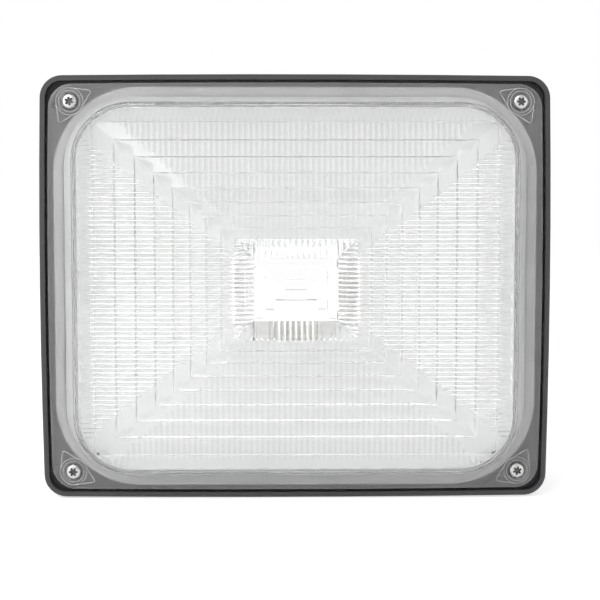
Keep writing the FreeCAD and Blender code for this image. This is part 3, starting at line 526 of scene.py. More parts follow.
@dataclass(frozen=True)
class Station:
    """Rounded rectangle at a depth, one row of the cover's wall.

    Attributes:
        half: Half width and half height.
        corner: Radius of its corners.
        depth: Depth in front of the wall.
    """

    half: Half
    corner: float
    depth: float

    def inset(self, inward: float, forward: float) -> "Station":
        """Return this outline moved inwards and forwards."""
        half = (self.half[0] - inward, self.half[1] - inward)
        return Station(half, max(self.corner - inward, LEAST_CORNER), self.depth + forward)

    def towards(self, other: "Station", share: float) -> "Station":
        """Return the outline part of the way along a straight wall.

        Args:
            other: Outline at the wall's end.
            share: Share of the way.

        Returns:
            The outline there.
        """
        mine, theirs = (*self.half, self.corner, self.depth), (*other.half, other.corner, other.depth)
        wide, tall, corner, depth = (a + (b - a) * share for a, b in zip(mine, theirs))
        return Station((wide, tall), corner, depth)

    def points(self, arc: int, line: int) -> list[tuple[float, float]]:
        """List the outline's points.

        Args:
            arc: Steps round each corner.
            line: Steps along each side.

        Returns:
            X and Z of each point, anticlockwise as seen from the front.
        """
        wide, tall = self.half[0] - self.corner, self.half[1] - self.corner
        ends = []
        for k, (right, up) in enumerate(QUARTERS):
            x, z = right * wide, up * tall
            turns = ((k + j / arc) * math.pi / 2 for j in range(arc + 1))
            ends.append([(x + self.corner * math.cos(t), z + self.corner * math.sin(t)) for t in turns])
        made = []
        for this, following in zip(ends, [*ends[1:], ends[0]]):
            (x0, z0), (x1, z1) = this[-1], following[0]
            made += this
            made += [(x0 + (x1 - x0) * j / line, z0 + (z1 - z0) * j / line) for j in range(1, line)]
        return made


@dataclass(frozen=True)
class Lip:
    """Small slope on the crest of a ring's side, which shows as a line.

    Attributes:
        width: Its share of the ring's width.
        angle: Its angle to the cover's face, in degrees.
    """

    width: float
    angle: float


@dataclass(frozen=True)
class Ring:
    """One prism ring, a sloped frame between two rectangles.

    Attributes:
        outer: Half width and half height of its outer edge.
        inner: Half width and half height of its inner edge.
        outer_rise: Height of its outer edge over the cover's inner face.
        inner_rise: Height of its inner edge.
        flutes: Share of the full flute depth at its inner edge, on top and bottom and on the sides.
        hip: Width of the smooth band along each corner.
        kite: Depth of the facet in each corner.
        onset: Share of those flutes that its outer edge has.
        lip: Share of the full lip on its crest.
        corner_steps: Steps of points across each corner.
        dash: Half length of the full flutes on its lower side, or 0 where they are full all along.
    """

    outer: Half
    inner: Half
    outer_rise: float
    inner_rise: float
    flutes: Half = (0.0, 0.0)
    hip: float = 0.0
    kite: float = 0.0
    onset: float = 1.0
    lip: float = 1.0
    corner_steps: int = 5
    dash: float = 0.0


@dataclass
class PrismCover:
    """Clear cover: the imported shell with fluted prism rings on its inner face.

    Attributes:
        face: Depth of the inner face in front of the wall.
        crown: Depth of the outer face's middle.
        dome: Radius of the outer face.
        flange: Depth of the flange's front.
        seat: Depth of the flange's back.
        seat_gap: Gap between the flange and its gasket.
        boss_top: Height over the flange that a boss stays under.
        foot: Outline of the wall at the flange's back.
        shoulder: Outline of the wall under its bevelled edge.
        bevel: Run and rise of that edge.
        fillet: Size of the fillet at the wall's foot.
        fillet_rows: Run and rise of the fillet's rows, as shares of its size.
        wall_rows: Shares of the outer wall at which it has rows.
        bevel_start: Run and rise of the bevelled edge's first row, as shares of its size.
        bevel_rows: Shares of that edge at which it has further rows.
        face_rows: Distances in from that edge at which the outer face has rows.
        wall: Thickness of the wall.
        hollow_rows: Shares of the inner wall at which it has rows.
        stippled: Numbers of the inner wall's bands that are stippled.
        arc_steps: Steps round a corner.
        line_steps: Steps along a side.
        outline: Half width and half height of the first ring.
        count: Number of stepped rings.
        step_outer: Width of the first ring.
        step_inner: Width of the last ring.
        ridge: Height of a ring's crest.
        draft: Run of the riser from one ring to the next.
        land: Width of the flats between the slopes in the middle.
        rim: Width of the fluted band round the first ring.
        rim_flutes: Share of the rim's flutes that its outer edge has.
        pitch_wide: Flute pitch on the top and the bottom.
        pitch_tall: Flute pitch on the left and the right.
        flute: Half width of a flute's groove, as a share of the pitch.
        flutes: Share of the full flute depth on top and bottom and on the sides.
        samples: Points in one pitch.
        kite: Depth of the corner facets.
        first_kite: Depth of the first ring's corner facets.
        kite_reach: Half width of the corner facets.
        fade: Length over which a flute runs out.
        hub_run: Width of the steep ring round the middle box.
        hub_rise: Height of that ring.
        hub_flutes: Share of the full flute depth on that ring.
        hub_hip: Width of the smooth band along its corners.
        hub_corner_steps: Steps of points across those corners.
        hub_dash: Half length of the full flutes on its lower side.
        calm: Share of the flute depth beside those.
        grooves: Number of nested right-angled ridges in the middle box.
        slit: Half height of the flat inside the last of them.
        arc_centre: Centre of the hollow's rounded corner.
        arc_radius: Radius that the rings keep to in that corner.
        arc_margin: Further radius for the fluted band's outer edge.
        lips: Lip of the rings on each side.
        first_lip: Share of that lip on the first ring.
        rows: Shares of the slope, past the lip, at which it has points.
        merge: Distance within which points are one.
        sharp: Angle from which an edge is sharp.
    """

    face: float = 84.0 * MM
    crown: float = 88.0 * MM
    dome: float = 4200 * MM
    flange: float = 70.5 * MM
    seat: float = 67.5 * MM
    seat_gap: float = 0.06 * MM
    boss_top: float = 0.4 * MM
    foot: Station = Station((109.8 * MM, 90.4 * MM), 33.6 * MM, 67.5 * MM)
    shoulder: Station = Station((103.2 * MM, 86.0 * MM), 27.0 * MM, 84.0 * MM)
    bevel: Half = (1.05 * MM, 2.8 * MM)
    fillet: float = 0.6 * MM
    fillet_rows: Sequence[Half] = ((0.5, 0.2), (0.8, 0.6))
    wall_rows: Sequence[float] = (0.3, 0.65, 0.97)
    bevel_start: Half = (0.15, 0.05)
    bevel_rows: Sequence[float] = (0.55, 0.85)
    face_rows: Sequence[float] = (0.4 * MM, 4 * MM, 20 * MM, 45 * MM, 75 * MM)
    wall: float = 2.4 * MM
    hollow_rows: Sequence[float] = (0.02, 0.35, 0.7, 1.0)
    stippled: Sequence[int] = (0, 1)
    arc_steps: int = 20
    line_steps: int = 16
    outline: Half = (93.6 * MM, 77.2 * MM)
    count: int = 8
    step_outer: float = 9.9 * MM
    step_inner: float = 6.4 * MM
    ridge: float = 1.8 * MM
    draft: float = 0.2 * MM
    land: float = 0.03 * MM
    rim: float = 5.9 * MM
    rim_flutes: float = 0.3
    pitch_wide: float = 2.6 * MM
    pitch_tall: float = 2.13 * MM
    flute: float = 0.25
    flutes: Half = (0.55, 1.0)
    samples: int = 4
    kite: float = 0.5 * MM
    first_kite: float = 0.05 * MM
    kite_reach: float = 4.0 * MM
    fade: float = 1.2 * MM
    hub_run: float = 8.9 * MM
    hub_rise: float = 7.1 * MM
    hub_flutes: Half = (0.6, 0.45)
    hub_hip: float = 0.2 * MM
    hub_corner_steps: int = 24
    hub_dash: float = 11.0 * MM
    calm: float = 0.3
    grooves: int = 3
    slit: float = 0.02 * MM
    arc_centre: Half = (76.2 * MM, 59.0 * MM)
    arc_radius: float = 23.8 * MM
    arc_margin: float = 0.5 * MM
    lips: dict[Side, Lip] = field(default_factory=lambda: {
        Side.TOP: Lip(0.06, 56), Side.RIGHT: Lip(0.05, 56),
        Side.BOTTOM: Lip(0.12, 34), Side.LEFT: Lip(0.05, 56)})
    first_lip: float = 0.2
    rows: Sequence[float] = (0.28, 0.5, 0.75, 1.0)
    merge: float = 0.002 * MM
    sharp: float = math.radians(6)

    @staticmethod
    def drawn_in(line: Half, run: float) -> Half:
        """Return a rectangle's half sizes with its sides moved in."""
        return line[0] - run, line[1] - run

    def rings(self) -> list[Ring]:
        """Lay out the rings.

        Returns:
            The rings from the outside in.
        """
        line = self.outline
        ratio = line[1] / line[0]
        made = [Ring(self.drawn_in(line, -self.rim), line, 0.0, 0.0, self.flutes, self.step_outer, 0.0,
                     self.rim_flutes)]
        for k in range(self.count):
            step = self.step_outer + (self.step_inner - self.step_outer) * k / (self.count - 1)
            inner = (line[0] - step, (line[0] - step) * ratio)
            made.append(Ring(self.drawn_in(line, self.draft), inner, self.ridge, 0.0, self.flutes, step,
                             self.kite if k else self.first_kite, lip=1.0 if k else self.first_lip))
            line = inner
        box = self.drawn_in(line, self.hub_run)
        made.append(Ring(self.drawn_in(line, self.land), box, 0.0, self.hub_rise, self.hub_flutes,
                         self.hub_hip, corner_steps=self.hub_corner_steps, dash=self.hub_dash))
        half = (box[1] - self.slit) / (2 * self.grooves)
        for _ in range(self.grooves):
            crest, inner = (self.drawn_in(box, share * half) for share in (1, 2))
            made.append(Ring(self.drawn_in(box, self.land), crest, 0.0, half - self.land))
            made.append(Ring(self.drawn_in(crest, self.land), inner, half - self.land, 0.0))
            box = inner
        return made

    def columns(self, long_outer: float, long_inner: float, pitch: float, corner_steps: int,
                ) -> list[tuple[float, float]]:
        """List the columns of one side of a ring.

        Args:
            long_outer: Half length of its outer edge.
            long_inner: Half length of its inner edge.
            pitch: Flute pitch.
            corner_steps: Steps of points across each corner.

        Returns:
            Place along the side and share of the slope that it climbs, in order.
        """
        step = pitch / self.samples
        least_gap = step / 3
        reach = int((long_inner - least_gap) / step)
        places = [-long_inner, *(j * step for j in range(-reach, reach + 1)), long_inner]
        middle = [(place, 1.0) for place in places]
        shares = (k / corner_steps for k in range(corner_steps))
        corner = [(long_outer + (long_inner - long_outer) * s, s) for s in shares]
        return [*((-u, s) for u, s in corner), *middle, *reversed(corner)]

    def keep_inside(self, point: Vector, radius: float) -> Vector:
        """Pull a point back inside the rounded corner of the cover's hollow.

        Args:
            point: Point of a ring.
            radius: Radius that it keeps to.

        Returns:
            The point, on the corner's arc where it lay outside.
        """
        x, z = abs(point.x) - self.arc_centre[0], abs(point.z) - self.arc_centre[1]
        reach = math.hypot(x, z)
        if min(x, z) <= 0 or reach <= radius:
            return point
        share = radius / reach
        return Vector((math.copysign(self.arc_centre[0] + x * share, point.x), point.y,
                       math.copysign(self.arc_centre[1] + z * share, point.z)))

    def side(self, mesh: BMesh, ring: Ring, side: Side) -> tuple[Loop, Loop]:
        """Add one side of a ring.

        Args:
            mesh: Mesh that takes it.
            ring: The ring.
            side: Which side.

        Returns:
            Points of its outer and of its inner edge, in order along the side.
        """
        phase, reach = mesh.verts.layers.float["phase"], mesh.verts.layers.float["reach"]
        (long_outer, out_outer), (long_inner, out_inner) = side.spans(ring.outer), side.spans(ring.inner)
        upright = side in (Side.TOP, Side.BOTTOM)
        pitch = self.pitch_wide if upright else self.pitch_tall
        depth = pitch * ring.flutes[0 if upright else 1]
        lip = self.lips[side]
        lip_rise = math.tan(math.radians(lip.angle)) * (out_outer - out_inner) if ring.kite else 0.0
        lip_width = lip.width * ring.lip
        rows = (0.0, lip_width, *self.rows)
        grid: list[Loop] = []
        columns = self.columns(long_outer, long_inner, pitch, ring.corner_steps)
        for along, climb in columns:
            column: Loop = []
            for share in rows if climb else rows[:1]:
                s = share * climb
                corner = long_outer + (long_inner - long_outer) * s - abs(along)
                height = ring.outer_rise + (ring.inner_rise - ring.outer_rise) * s
                height += max(0.0, lip_width - share) * climb * lip_rise
                height -= max(0.0, ring.kite * (1 - abs(2 * s - 1) - corner / self.kite_reach))
                out = out_outer + (out_inner - out_outer) * s
                radius = self.arc_radius + (1 - s) * self.arc_margin
                point = mesh.verts.new(self.keep_inside(side.place(along, out, self.face - height), radius))
                point[phase] = along / pitch
                growth = ring.onset + (1 - ring.onset) * smoothstep(s)
                point[reach] = depth * growth * smoothstep((corner - ring.hip) / self.fade)
                if ring.dash and side is Side.BOTTOM:
                    full = smoothstep((ring.dash - abs(along)) / self.fade)
                    point[reach] *= self.calm + (1 - self.calm) * full
                column.append(point)
            grid.append(column)
        for left, right in zip(grid, grid[1:]):
            if len(left) == len(right):
                for i in range(len(left) - 1):
                    mesh.faces.new((left[i], right[i], right[i + 1], left[i + 1]))
            else:
                tip, column = (left[0], right) if len(left) == 1 else (right[0], left)
                for low, high in zip(column, column[1:]):
                    mesh.faces.new((tip, low, high))
        inner = [column[-1] for (_, climb), column in zip(columns, grid) if climb == 1.0]
        return [column[0] for column in grid], inner

    @staticmethod
    def zip_strip(mesh: BMesh, first: Row, second: Row, part: Clear = Clear.FACE) -> None:
        """Close the strip between two rows of points.

        Args:
            mesh: Mesh that takes the faces.
            first: Place and point along one row, in order.
            second: Place and point along the other row.
            part: Part of the cover whose surface the strip has.
        """
        i = j = 0
        while i < len(first) - 1 or j < len(second) - 1:
            done = j == len(second) - 1
            if i < len(first) - 1 and (done or first[i + 1][0] <= second[j + 1][0]):
                face = mesh.faces.new((first[i][1], first[i + 1][1], second[j][1]))
                i += 1
            else:
                face = mesh.faces.new((first[i][1], second[j + 1][1], second[j][1]))
                j += 1
            face.material_index = part.value

    def prisms(self) -> Mesh:
        """Build the prism rings with plain slopes and mark where the flutes run.

        Returns:
            The mesh, with the flutes' phase and reach on its points.
        """
        mesh = bmesh.new()
        mesh.verts.layers.float.new("phase")
        mesh.verts.layers.float.new("reach")
        rings = self.rings()
        for side in Side:
            along = side.place(1.0, 0.0, 0.0)
            before: Row = []
            for ring in rings:
                edges = self.side(mesh, ring, side)
                outer, inner = ([(along.dot(v.co), v) for v in edge] for edge in edges)
                self.zip_strip(mesh, before or outer[:1], outer if before else outer[:1])
                before = inner
        bmesh.ops.remove_doubles(mesh, verts=mesh.verts, dist=self.merge)
        smallest = rings[-1].inner
        rim = [edge for edge in mesh.edges if edge.is_boundary
               and all(abs(v.co.x) < smallest[0] + self.merge and abs(v.co.z) < smallest[1] + self.merge
                       for v in edge.verts)]
        bmesh.ops.edgeloop_fill(mesh, edges=rim)
        return finished(mesh, "prism rings")

    def flute_tree(self) -> ShapeTree:
        """Make the tree that cuts the flutes into the slopes as right-angled grooves.

        Returns:
            The tree.
        """
        tree = ShapeTree("flutes", {"Half Width": self.flute})
        half_pitch = 0.5
        aside = tree.math("PINGPONG", tree.attribute("phase"), half_pitch)
        cut = tree.math("MAXIMUM", tree.math("SUBTRACT", tree.given("Half Width"), aside), 0.0)
        depth = tree.math("MULTIPLY", cut, tree.attribute("reach"))
        moved = tree.node("GeometryNodeSetPosition", {"Geometry": tree.given("Geometry"),
                                                      "Offset": tree.forward(depth)})
        tree.close(moved.outputs[0])
        return tree

    def on_flange(self, point: Vector) -> bool:
        """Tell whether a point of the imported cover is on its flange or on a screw's boss.

        Args:
            point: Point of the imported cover.

        Returns:
            True on the flange, False on the bell's walls.
        """
        flat = min(abs(-point.y - self.seat), abs(-point.y - self.flange)) < self.merge
        x, z = (abs(at) - half + self.foot.corner for at, half in zip((point.x, point.z), self.foot.half))
        beyond = min(x, z) > 0 and math.hypot(x, z) > self.foot.corner
        return flat or (beyond and -point.y < self.flange + self.boss_top)

    def flange_part(self, mesh: BMesh) -> None:
        """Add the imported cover's flange.

        Args:
            mesh: Empty mesh that takes it.
        """
        mesh.from_mesh(frame["nodes"]["lens"].data)
        bmesh.ops.remove_doubles(mesh, verts=mesh.verts, dist=self.merge)
        walls = [v for v in mesh.verts if not self.on_flange(v.co)]
        bmesh.ops.delete(mesh, geom=walls, context="VERTS")
        bmesh.ops.delete(mesh, geom=[v for v in mesh.verts if not v.link_faces], context="VERTS")
        for v in mesh.verts:
            if -v.co.y < self.seat + self.merge:
                v.co.y -= self.seat_gap
        for face in mesh.faces:
            face.material_index = Clear.FLANGE.value

    def loops(self, mesh: BMesh, stations: Sequence[Station], stippled: Sequence[int]) -> list[Loop]:
        """Add a wall through a row of outlines.

        Args:
            mesh: Mesh that takes it.
            stations: The outlines in order.
            stippled: Numbers of the bands that are stippled.

        Returns:
            The points of each outline.
        """
        made: list[Loop] = []
        for station in stations:
            made.append([mesh.verts.new((x, -station.depth, z))
                         for x, z in station.points(self.arc_steps, self.line_steps)])
        for k, (low, high) in enumerate(zip(made, made[1:])):
            band(mesh, low, high, (Clear.WALL if k in stippled else Clear.FACE).value)
        return made

    def bell(self, mesh: BMesh) -> Loop:
        """Add the cover's outer wall, its bevelled edge and its crowned face.

        Args:
            mesh: Mesh that takes it.

        Returns:
            The points of the wall's foot.
        """
        foot = self.foot.towards(self.shoulder, (self.flange - self.seat) / (self.face - self.seat))
        wall = [foot.inset(run * self.fillet, rise * self.fillet) for run, rise in self.fillet_rows]
        wall += [self.foot.towards(self.shoulder, share) for share in self.wall_rows]
        stippled = range(len(wall) - 1)
        edge = self.shoulder.inset(*self.bevel)
        start = (share * size for share, size in zip(self.bevel_start, self.bevel))
        wall.append(self.shoulder.inset(*start))
        wall += [self.shoulder.towards(edge, share) for share in self.bevel_rows]
        wall += [edge.inset(inward, 0.0) for inward in self.face_rows]
        made = self.loops(mesh, wall, stippled)
        for loop in made[-len(self.face_rows):]:
            for v in loop:
                v.co.y = (v.co.x ** 2 + v.co.z ** 2) / (2 * self.dome) - self.crown
        fan(mesh, made[-1], mesh.verts.new((0, -self.crown, 0)))
        return made[0]

    def hollow(self, mesh: BMesh) -> tuple[Loop, Loop]:
        """Add the cover's inner wall.

        Args:
            mesh: Mesh that takes it.

        Returns:
            The points of its foot and of its top.
        """
        foot, top = self.foot.inset(self.wall, 0.0), self.shoulder.inset(self.wall, 0.0)
        rows = [foot.towards(top, share) for share in self.hollow_rows]
        made = self.loops(mesh, rows, self.stippled)
        return made[0], made[-1]

    @staticmethod
    def turned(points: Sequence[BMVert]) -> Row:
        """Return a closed row's points with their angles, in order and with the first again at the end."""
        row = sorted(((math.atan2(v.co.z, v.co.x), v) for v in points), key=lambda pair: pair[0])
        return [*row, (row[0][0] + 2 * math.pi, row[0][1])]

    def build(self) -> Object:
        """Build the cover.

        Returns:
            Its object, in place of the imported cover.
        """
        finishes = [CLEAR_FINISHES[part].material() for part in Clear]
        fluted = self.flute_tree().apply(self.prisms(), finishes[Clear.FACE.value])
        mesh = bmesh.new()
        self.flange_part(mesh)
        mesh.from_mesh(fluted)
        rims = {v for edge in mesh.edges if edge.is_boundary for v in edge.verts}
        middle = (self.flange + self.seat) / 2
        back = [v for v in rims if -v.co.y < middle]
        front = [v for v in rims if middle < -v.co.y < self.flange + self.ridge]
        field_rim = [v for v in rims if -v.co.y > self.face - self.ridge / 2]
        foot = self.bell(mesh)
        inner_foot, inner_top = self.hollow(mesh)
        strips = ((front, foot, Clear.FLANGE), (back, inner_foot, Clear.FOOT),
                  (inner_top, field_rim, Clear.FACE))
        for first, second, part in strips:
            self.zip_strip(mesh, self.turned(first), self.turned(second), part)
        bmesh.ops.remove_doubles(mesh, verts=mesh.verts, dist=self.merge)
        bmesh.ops.recalc_face_normals(mesh, faces=mesh.faces)
        for face in mesh.faces:
            face.smooth = True
        made = finished(mesh, "prism_cover")
        made.set_sharp_from_angle(angle=self.sharp)
        for finish in finishes:
            made.materials.append(finish)
        return add_piece("prism_cover", made, "lens")


@dataclass
class ScrewSet:
    """Six-lobe pan-head screws at the corners of a rectangle.

    Attributes:
        span: Distances between the screws, across and up.
        seat: Depth of the heads' seat in front of the wall.
        head: Radius of a head.
        rise: Height of a head.
        shank: Radius of the shank.
        length: Length of the shank.
        point: Length of the shank's point, as a share of its radius.
        taper: Radius of the taper's end and its length, as shares of the shank's radius.
        head_rows: Radius and height of the head's rows, as shares of its own.
        lobe: Mean radius of the socket.
        mouth_rows: Radius of its mouth's rows, as a share of that, and height, as a share of the head's.
        floor: Radius of its floor, as a share of its mean radius.
        lobes: Number of the socket's lobes.
        wave: Height of the lobes.
        socket: Depth of the socket's wall.
        cone: Depth of its coned floor's middle, as a share of the wall's.
        brim: Depth under the head's top from which the socket gets its painted shade, as a share of the
            head's height.
        segments: Points round the head.
        turn: Turn of each screw past the one before it.
        sharp: Angle from which an edge is sharp.
    """

    span: Half
    seat: float = 69.5 * MM
    head: float = 3.5 * MM
    rise: float = 2.4 * MM
    shank: float = 1.95 * MM
    length: float = 9.9 * MM
    point: float = 0.2
    taper: Half = (0.7, 0.4)
    head_rows: Sequence[Half] = ((0.985, 0.0), (1.0, 0.05), (1.0, 0.42), (0.975, 0.62), (0.92, 0.8),
                                 (0.82, 0.92), (0.7, 0.98))
    lobe: float = 1.66 * MM
    mouth_rows: Sequence[Half] = ((1.05, 1.0), (1.0, 0.96))
    floor: float = 0.93
    lobes: int = 6
    wave: float = 0.42 * MM
    socket: float = 1.3 * MM
    cone: float = 1.12
    brim: float = 0.05
    segments: int = 72
    turn: float = 0.35
    sharp: float = math.radians(40)

    def profile(self) -> list[Point]:
        """List the rings of points of a screw.

        Returns:
            Radius, height and lobe share of each ring, from the tip to the socket's floor.
        """
        end, run = (share * self.shank for share in self.taper)
        made = [(end, -self.length, 0.0), (self.shank, run - self.length, 0.0), (self.shank, 0.0, 0.0)]
        made += [(self.head * across, self.rise * up, 0.0) for across, up in self.head_rows]
        made += [(self.lobe * across, self.rise * up, 1.0) for across, up in self.mouth_rows]
        return [*made, (self.lobe * self.floor, self.rise - self.socket, 1.0)]

    def screw(self) -> Mesh:
        """Build one screw.

        Returns:
            Its mesh at the origin, with the head towards -Y.
        """
        mesh = bmesh.new()
        rows: list[Loop] = []
        for radius, height, lobed in self.profile():
            row: Loop = []
            for k in range(self.segments):
                angle = 2 * math.pi * k / self.segments
                r = radius + lobed * self.wave * math.cos(self.lobes * angle)
                row.append(mesh.verts.new((r * math.cos(angle), -height, r * math.sin(angle))))
            rows.append(row)
        for low, high in zip(rows, rows[1:]):
            band(mesh, low, high)
        fan(mesh, rows[-1], mesh.verts.new((0, self.socket * self.cone - self.rise, 0)))
        fan(mesh, rows[0], mesh.verts.new((0, self.length + self.shank * self.point, 0)))
        bmesh.ops.recalc_face_normals(mesh, faces=mesh.faces)
        return finished(mesh, "corner_screws")

    def tree(self) -> ShapeTree:
        """Make the tree that sets the screws at the corners.

        Returns:
            The tree.
        """
        tree = ShapeTree("corner screws", {"Span Across": self.span[0], "Span Up": self.span[1],
                                          "Seat Depth": self.seat, "Turn Step": self.turn})
        grid = tree.node("GeometryNodeMeshGrid", {
            "Size X": tree.given("Span Across"), "Size Y": tree.given("Span Up"),
            "Vertices X": 2, "Vertices Y": 2})
        upright = tree.node("GeometryNodeTransform", {
            "Geometry": grid.outputs["Mesh"], "Translation": tree.forward(tree.given("Seat Depth")),
            "Rotation": (math.pi / 2, 0.0, 0.0)})
        index = tree.node("GeometryNodeInputIndex")
        spin = tree.node("ShaderNodeCombineXYZ", {
            "Y": tree.math("MULTIPLY", index.outputs[0], tree.given("Turn Step"))})
        placed = tree.node("GeometryNodeInstanceOnPoints", {
            "Points": upright.outputs[0], "Instance": tree.given("Geometry"), "Rotation": spin.outputs[0]})
        tree.close(placed.outputs[0])
        return tree

    def build(self, finish: Material) -> Object:
        """Build the screws.

        Args:
            finish: Their material.

        Returns:
            Their object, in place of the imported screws.
        """
        made = self.tree().apply(self.screw(), finish)
        made.shade_smooth()
        made.set_sharp_from_angle(angle=self.sharp)
        # The socket's walls and floor get the dark finish, which is painted shade in the recess.
        made.materials.append(SOCKET_PAINTED_SHADE.material())
        for face in made.polygons:
            face.material_index = int(self.in_socket(face.center))
        return add_piece("corner_screws", made, "lens_screws")

    def in_socket(self, point: Vector) -> bool:
        """Tell whether a point is inside the socket of a screw, where the shade is painted.

        Args:
            point: Point of the screws.

        Returns:
            True inside a socket.
        """
        sunk = self.seat + self.rise + point.y
        off = math.hypot(abs(point.x) - self.span[0] / 2, abs(point.z) - self.span[1] / 2)
        return self.brim * self.rise < sunk < self.cone * self.socket and off < self.lobe + self.wave


@dataclass
class BossBeads:
    """Fine beads moulded on the cover round each screw and along the two ears of its boss.

    Attributes:
        span: Distances between the screws, across and up.
        level: Depth of the bosses' top in front of the wall.
        rings: Radii of the beads round a screw.
        tips: Tips of the ears of the upper right boss, from its screw.
        turn: Length over which an ear's tip is rounded.
        turn_steps: Steps round an ear's tip.
        bead: Radius of a bead.
        segments: Points round a ring.
        sides: Points round a bead.
        sharp: Angle from which an edge is sharp.
    """

    span: Half
    level: float = 70.8 * MM
    rings: Half = (5.0 * MM, 6.3 * MM)
    tips: tuple[Half, Half] = ((-10.4 * MM, 5.0 * MM), (5.0 * MM, -10.4 * MM))
    turn: float = 1.8 * MM
    turn_steps: int = 5
    bead: float = 0.14 * MM
    segments: int = 48
    sides: int = 8
    sharp: float = math.radians(60)

    def ring(self, radius: float) -> list[Vector]:
        """Return the points of a bead round a screw."""
        turns = (2 * math.pi * k / self.segments for k in range(self.segments))
        return [Vector((math.cos(t), math.sin(t))) * radius for t in turns]

    def ear(self, tip: Half) -> list[Vector]:
        """List the points of the bead along one ear.

        Args:
            tip: Tip of the ear, from the screw.

        Returns:
            The points from one side of the boss round the tip to the other side.
        """
        radius, heading, point = self.rings[1], math.atan2(tip[1], tip[0]), Vector(tip)
        lean = math.acos(radius / point.length)
        angles = (heading + lean, heading - lean)
        ends = [Vector((math.cos(angle), math.sin(angle))) * radius for angle in angles]
        near = [point + (end - point).normalized() * self.turn for end in ends]
        shares = [k / self.turn_steps for k in range(self.turn_steps + 1)]
        bend = [near[0] * (1 - t) ** 2 + point * (2 * t * (1 - t)) + near[1] * t ** 2 for t in shares]
        return [ends[0], *bend, ends[1]]

    def lines(self) -> Mesh:
        """Draw the centre lines of all the beads.

        Returns:
            A mesh of edges.
        """
        lines = [(self.ring(radius), True) for radius in self.rings]
        lines += [(self.ear(tip), False) for tip in self.tips]
        mesh = bmesh.new()
        for right, up in QUARTERS:
            for line, closed in lines:
                row = [mesh.verts.new((right * (self.span[0] / 2 + at.x), -self.level,
                                       up * (self.span[1] / 2 + at.y))) for at in line]
                for first, second in zip(row, [*row[1:], row[0]] if closed else row[1:]):
                    mesh.edges.new((first, second))
        return finished(mesh, "bead lines")

    def tree(self) -> ShapeTree:
        """Make the tree that lays a round bead along every line.

        Returns:
            The tree.
        """
        tree = ShapeTree("boss beads", {"Bead Radius": self.bead})
        line = tree.node("GeometryNodeMeshToCurve", {"Mesh": tree.given("Geometry")})
        profile = tree.node("GeometryNodeCurvePrimitiveCircle", {"Radius": tree.given("Bead Radius"),
                                                                 "Resolution": self.sides})
        bead = tree.node("GeometryNodeCurveToMesh", {
            "Curve": line.outputs[0], "Profile Curve": profile.outputs[0], "Fill Caps": True})
        tree.close(bead.outputs[0])
        return tree

    def build(self) -> Object:
        """Build the beads.

        Returns:
            Their object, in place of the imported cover's edges.
        """
        made = self.tree().apply(self.lines(), BEAD_FINISH.material())
        mesh = bmesh.new()
        mesh.from_mesh(made)
        bmesh.ops.recalc_face_normals(mesh, faces=mesh.faces)
        mesh.to_mesh(made)
        mesh.free()
        made.shade_smooth()
        made.set_sharp_from_angle(angle=self.sharp)
        return add_piece("boss_beads", made, "lens")


@dataclass(frozen=True)
class Lamp:
    """Soft square lamp.

    Attributes:
        name: Name of the lamp.
        place: Its place.
        power: Its power in watts.
        size: Length of its sides.
    """

    name: str
    place: Point
    power: float
    size: float = 0.9


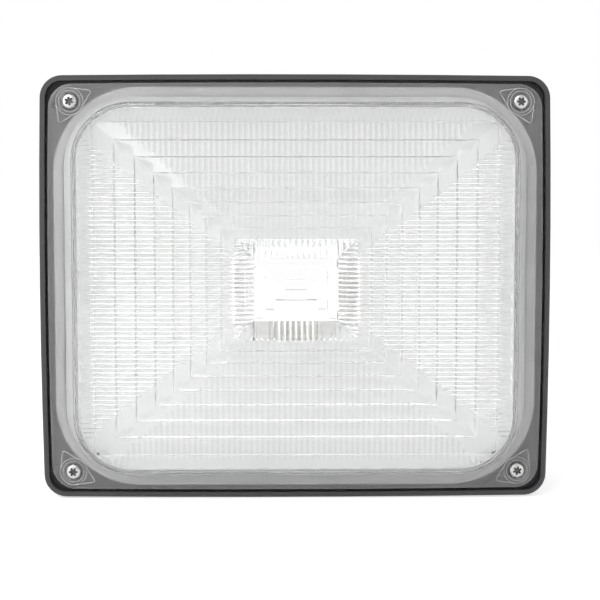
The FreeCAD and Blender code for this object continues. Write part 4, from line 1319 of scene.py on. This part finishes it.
@dataclass
class Studio:
    """White studio with a camera at the photograph's angle.

    Attributes:
        target: Point in the middle of the picture.
        distance: Distance of the camera from it.
        azimuth: Camera's turn to the right, in degrees.
        elevation: Camera's height over the horizon, in degrees.
        focal: Focal length, in millimetres.
        sensor: Width of the sensor, in millimetres.
        near: Least distance that the camera shows.
        lamps: Its lamps.
        bounces: Most bounces of a ray, by kind.
        clamp: Most light of one indirect ray.
        ambient: Strength of the world on plain surfaces.
        floor_glow: Light that the floor gives to the camera.
        floor_reach: Half length of the floor's sides.
        floor_shades: Darkest and lightest grey of the floor.
        floor_patch: Width of the patches of those greys.
        floor_roughness: Roughness of the floor.
        clearance: Gap between the floor and the light.
    """

    target: Vector = field(default_factory=lambda: Vector((2.0, -69.5, -5.8)) * MM)
    distance: float = 650 * MM
    azimuth: float = -1.0
    elevation: float = 4.0
    focal: float = 82.5
    sensor: float = 36.0
    near: float = 10 * MM
    lamps: Sequence[Lamp] = (
        Lamp("key_lamp", (-0.55, -0.9, 0.75), 10.0), Lamp("left_lamp", (-0.85, -0.85, 0.05), 3.0),
        Lamp("right_lamp", (0.85, -0.85, 0.05), 2.0))
    bounces: dict[str, int] = field(default_factory=lambda: {
        "max_bounces": 24, "transmission_bounces": 24, "glossy_bounces": 16, "diffuse_bounces": 12})
    clamp: float = 6.0
    ambient: float = 0.5
    floor_glow: float = 0.6
    floor_reach: float = 3.0
    floor_shades: Half = (0.84, 0.86)
    floor_patch: float = 0.3
    floor_roughness: float = 0.9
    clearance: float = 0.4 * MM

    def build(self) -> None:
        """Build the camera, the lamps, the floor and the world."""
        scene = bpy.context.scene
        scene.view_settings.view_transform = "Standard"
        scene.cycles.sample_clamp_indirect = self.clamp
        for kind, most in self.bounces.items():
            setattr(scene.cycles, kind, most)
        self.camera()
        for lamp in self.lamps:
            self.hang(lamp)
        self.floor()
        self.world()

    def camera(self) -> None:
        """Place the camera."""
        azimuth, elevation = math.radians(self.azimuth), math.radians(self.elevation)
        back = Vector((math.sin(azimuth) * math.cos(elevation), -math.cos(azimuth) * math.cos(elevation),
                       math.sin(elevation)))
        data = bpy.data.cameras.new("camera")
        data.lens = self.focal
        data.sensor_width = self.sensor
        data.clip_start = self.near
        camera = add_object("camera", data)
        camera.location = self.target + back * self.distance
        camera.rotation_euler = back.to_track_quat("Z", "Y").to_euler()
        bpy.context.scene.camera = camera

    def hang(self, lamp: Lamp) -> None:
        """Add a lamp that faces the light.

        Args:
            lamp: The lamp.
        """
        data = bpy.data.lights.new(lamp.name, "AREA")
        data.size = lamp.size
        data.energy = lamp.power
        made = add_object(lamp.name, data)
        made.location = lamp.place
        made.rotation_euler = (Vector(lamp.place) - self.target).to_track_quat("Z", "Y").to_euler()

    def floor(self) -> None:
        """Lay a pale floor just under the light."""
        level = CAD_BOX[0].z - self.clearance
        corners = [(right * self.floor_reach, back * self.floor_reach, level) for right, back in QUARTERS]
        mesh = bpy.data.meshes.new("floor")
        mesh.from_pydata(corners, [], [(0, 1, 2, 3)])
        shader = Shader("pale floor")
        dark, light = ((shade, shade, shade) for shade in self.floor_shades)
        shader.set(Base_Color=shader.mix(shader.noise(self.floor_patch), dark, light),
                   Roughness=self.floor_roughness, Emission_Color=WHITE,
                   Emission_Strength=shader.math("MULTIPLY", shader.seen(), self.floor_glow))
        mesh.materials.append(shader.material)
        floor = add_object("floor", mesh)

    def world(self) -> None:
        """Make a white world that lights plain surfaces softly."""
        world = bpy.data.worlds.new("studio")
        world.use_nodes = True
        tree = Tree(world.node_tree)
        strength = tree.node("ShaderNodeMix", {"Factor": tree.seen(), "A": self.ambient, "B": 1.0})
        background = world.node_tree.nodes["Background"]
        tree.feed(background, {"Color": WHITE, "Strength": strength.outputs["Result"]})
        bpy.context.scene.world = world


def dress_nodes() -> dict[str, Material]:
    """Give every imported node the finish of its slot.

    Returns:
        The materials by slot.
    """
    made = {slot: finish.material() for slot, finish in FINISHES.items()}
    for part in frame["record"]["subparts"]:
        slot = part["material_slot"]
        if slot not in made:
            continue
        node = frame["nodes"][part["node"]]
        for place in node.material_slots:
            place.material = made[slot]
        log.info("%s: %s", part["node"], made[slot].name)
    return made


def main() -> None:
    """Build the studio and every piece of the light."""
    logging.basicConfig(level=logging.INFO, format="%(name)s: %(message)s")
    Studio().build()
    finishes = dress_nodes()
    PrismCover().build()
    BossBeads(SCREW_SPAN).build()
    ScrewSet(SCREW_SPAN).build(finishes["stainless"])


if __name__ == "__main__":
    main()
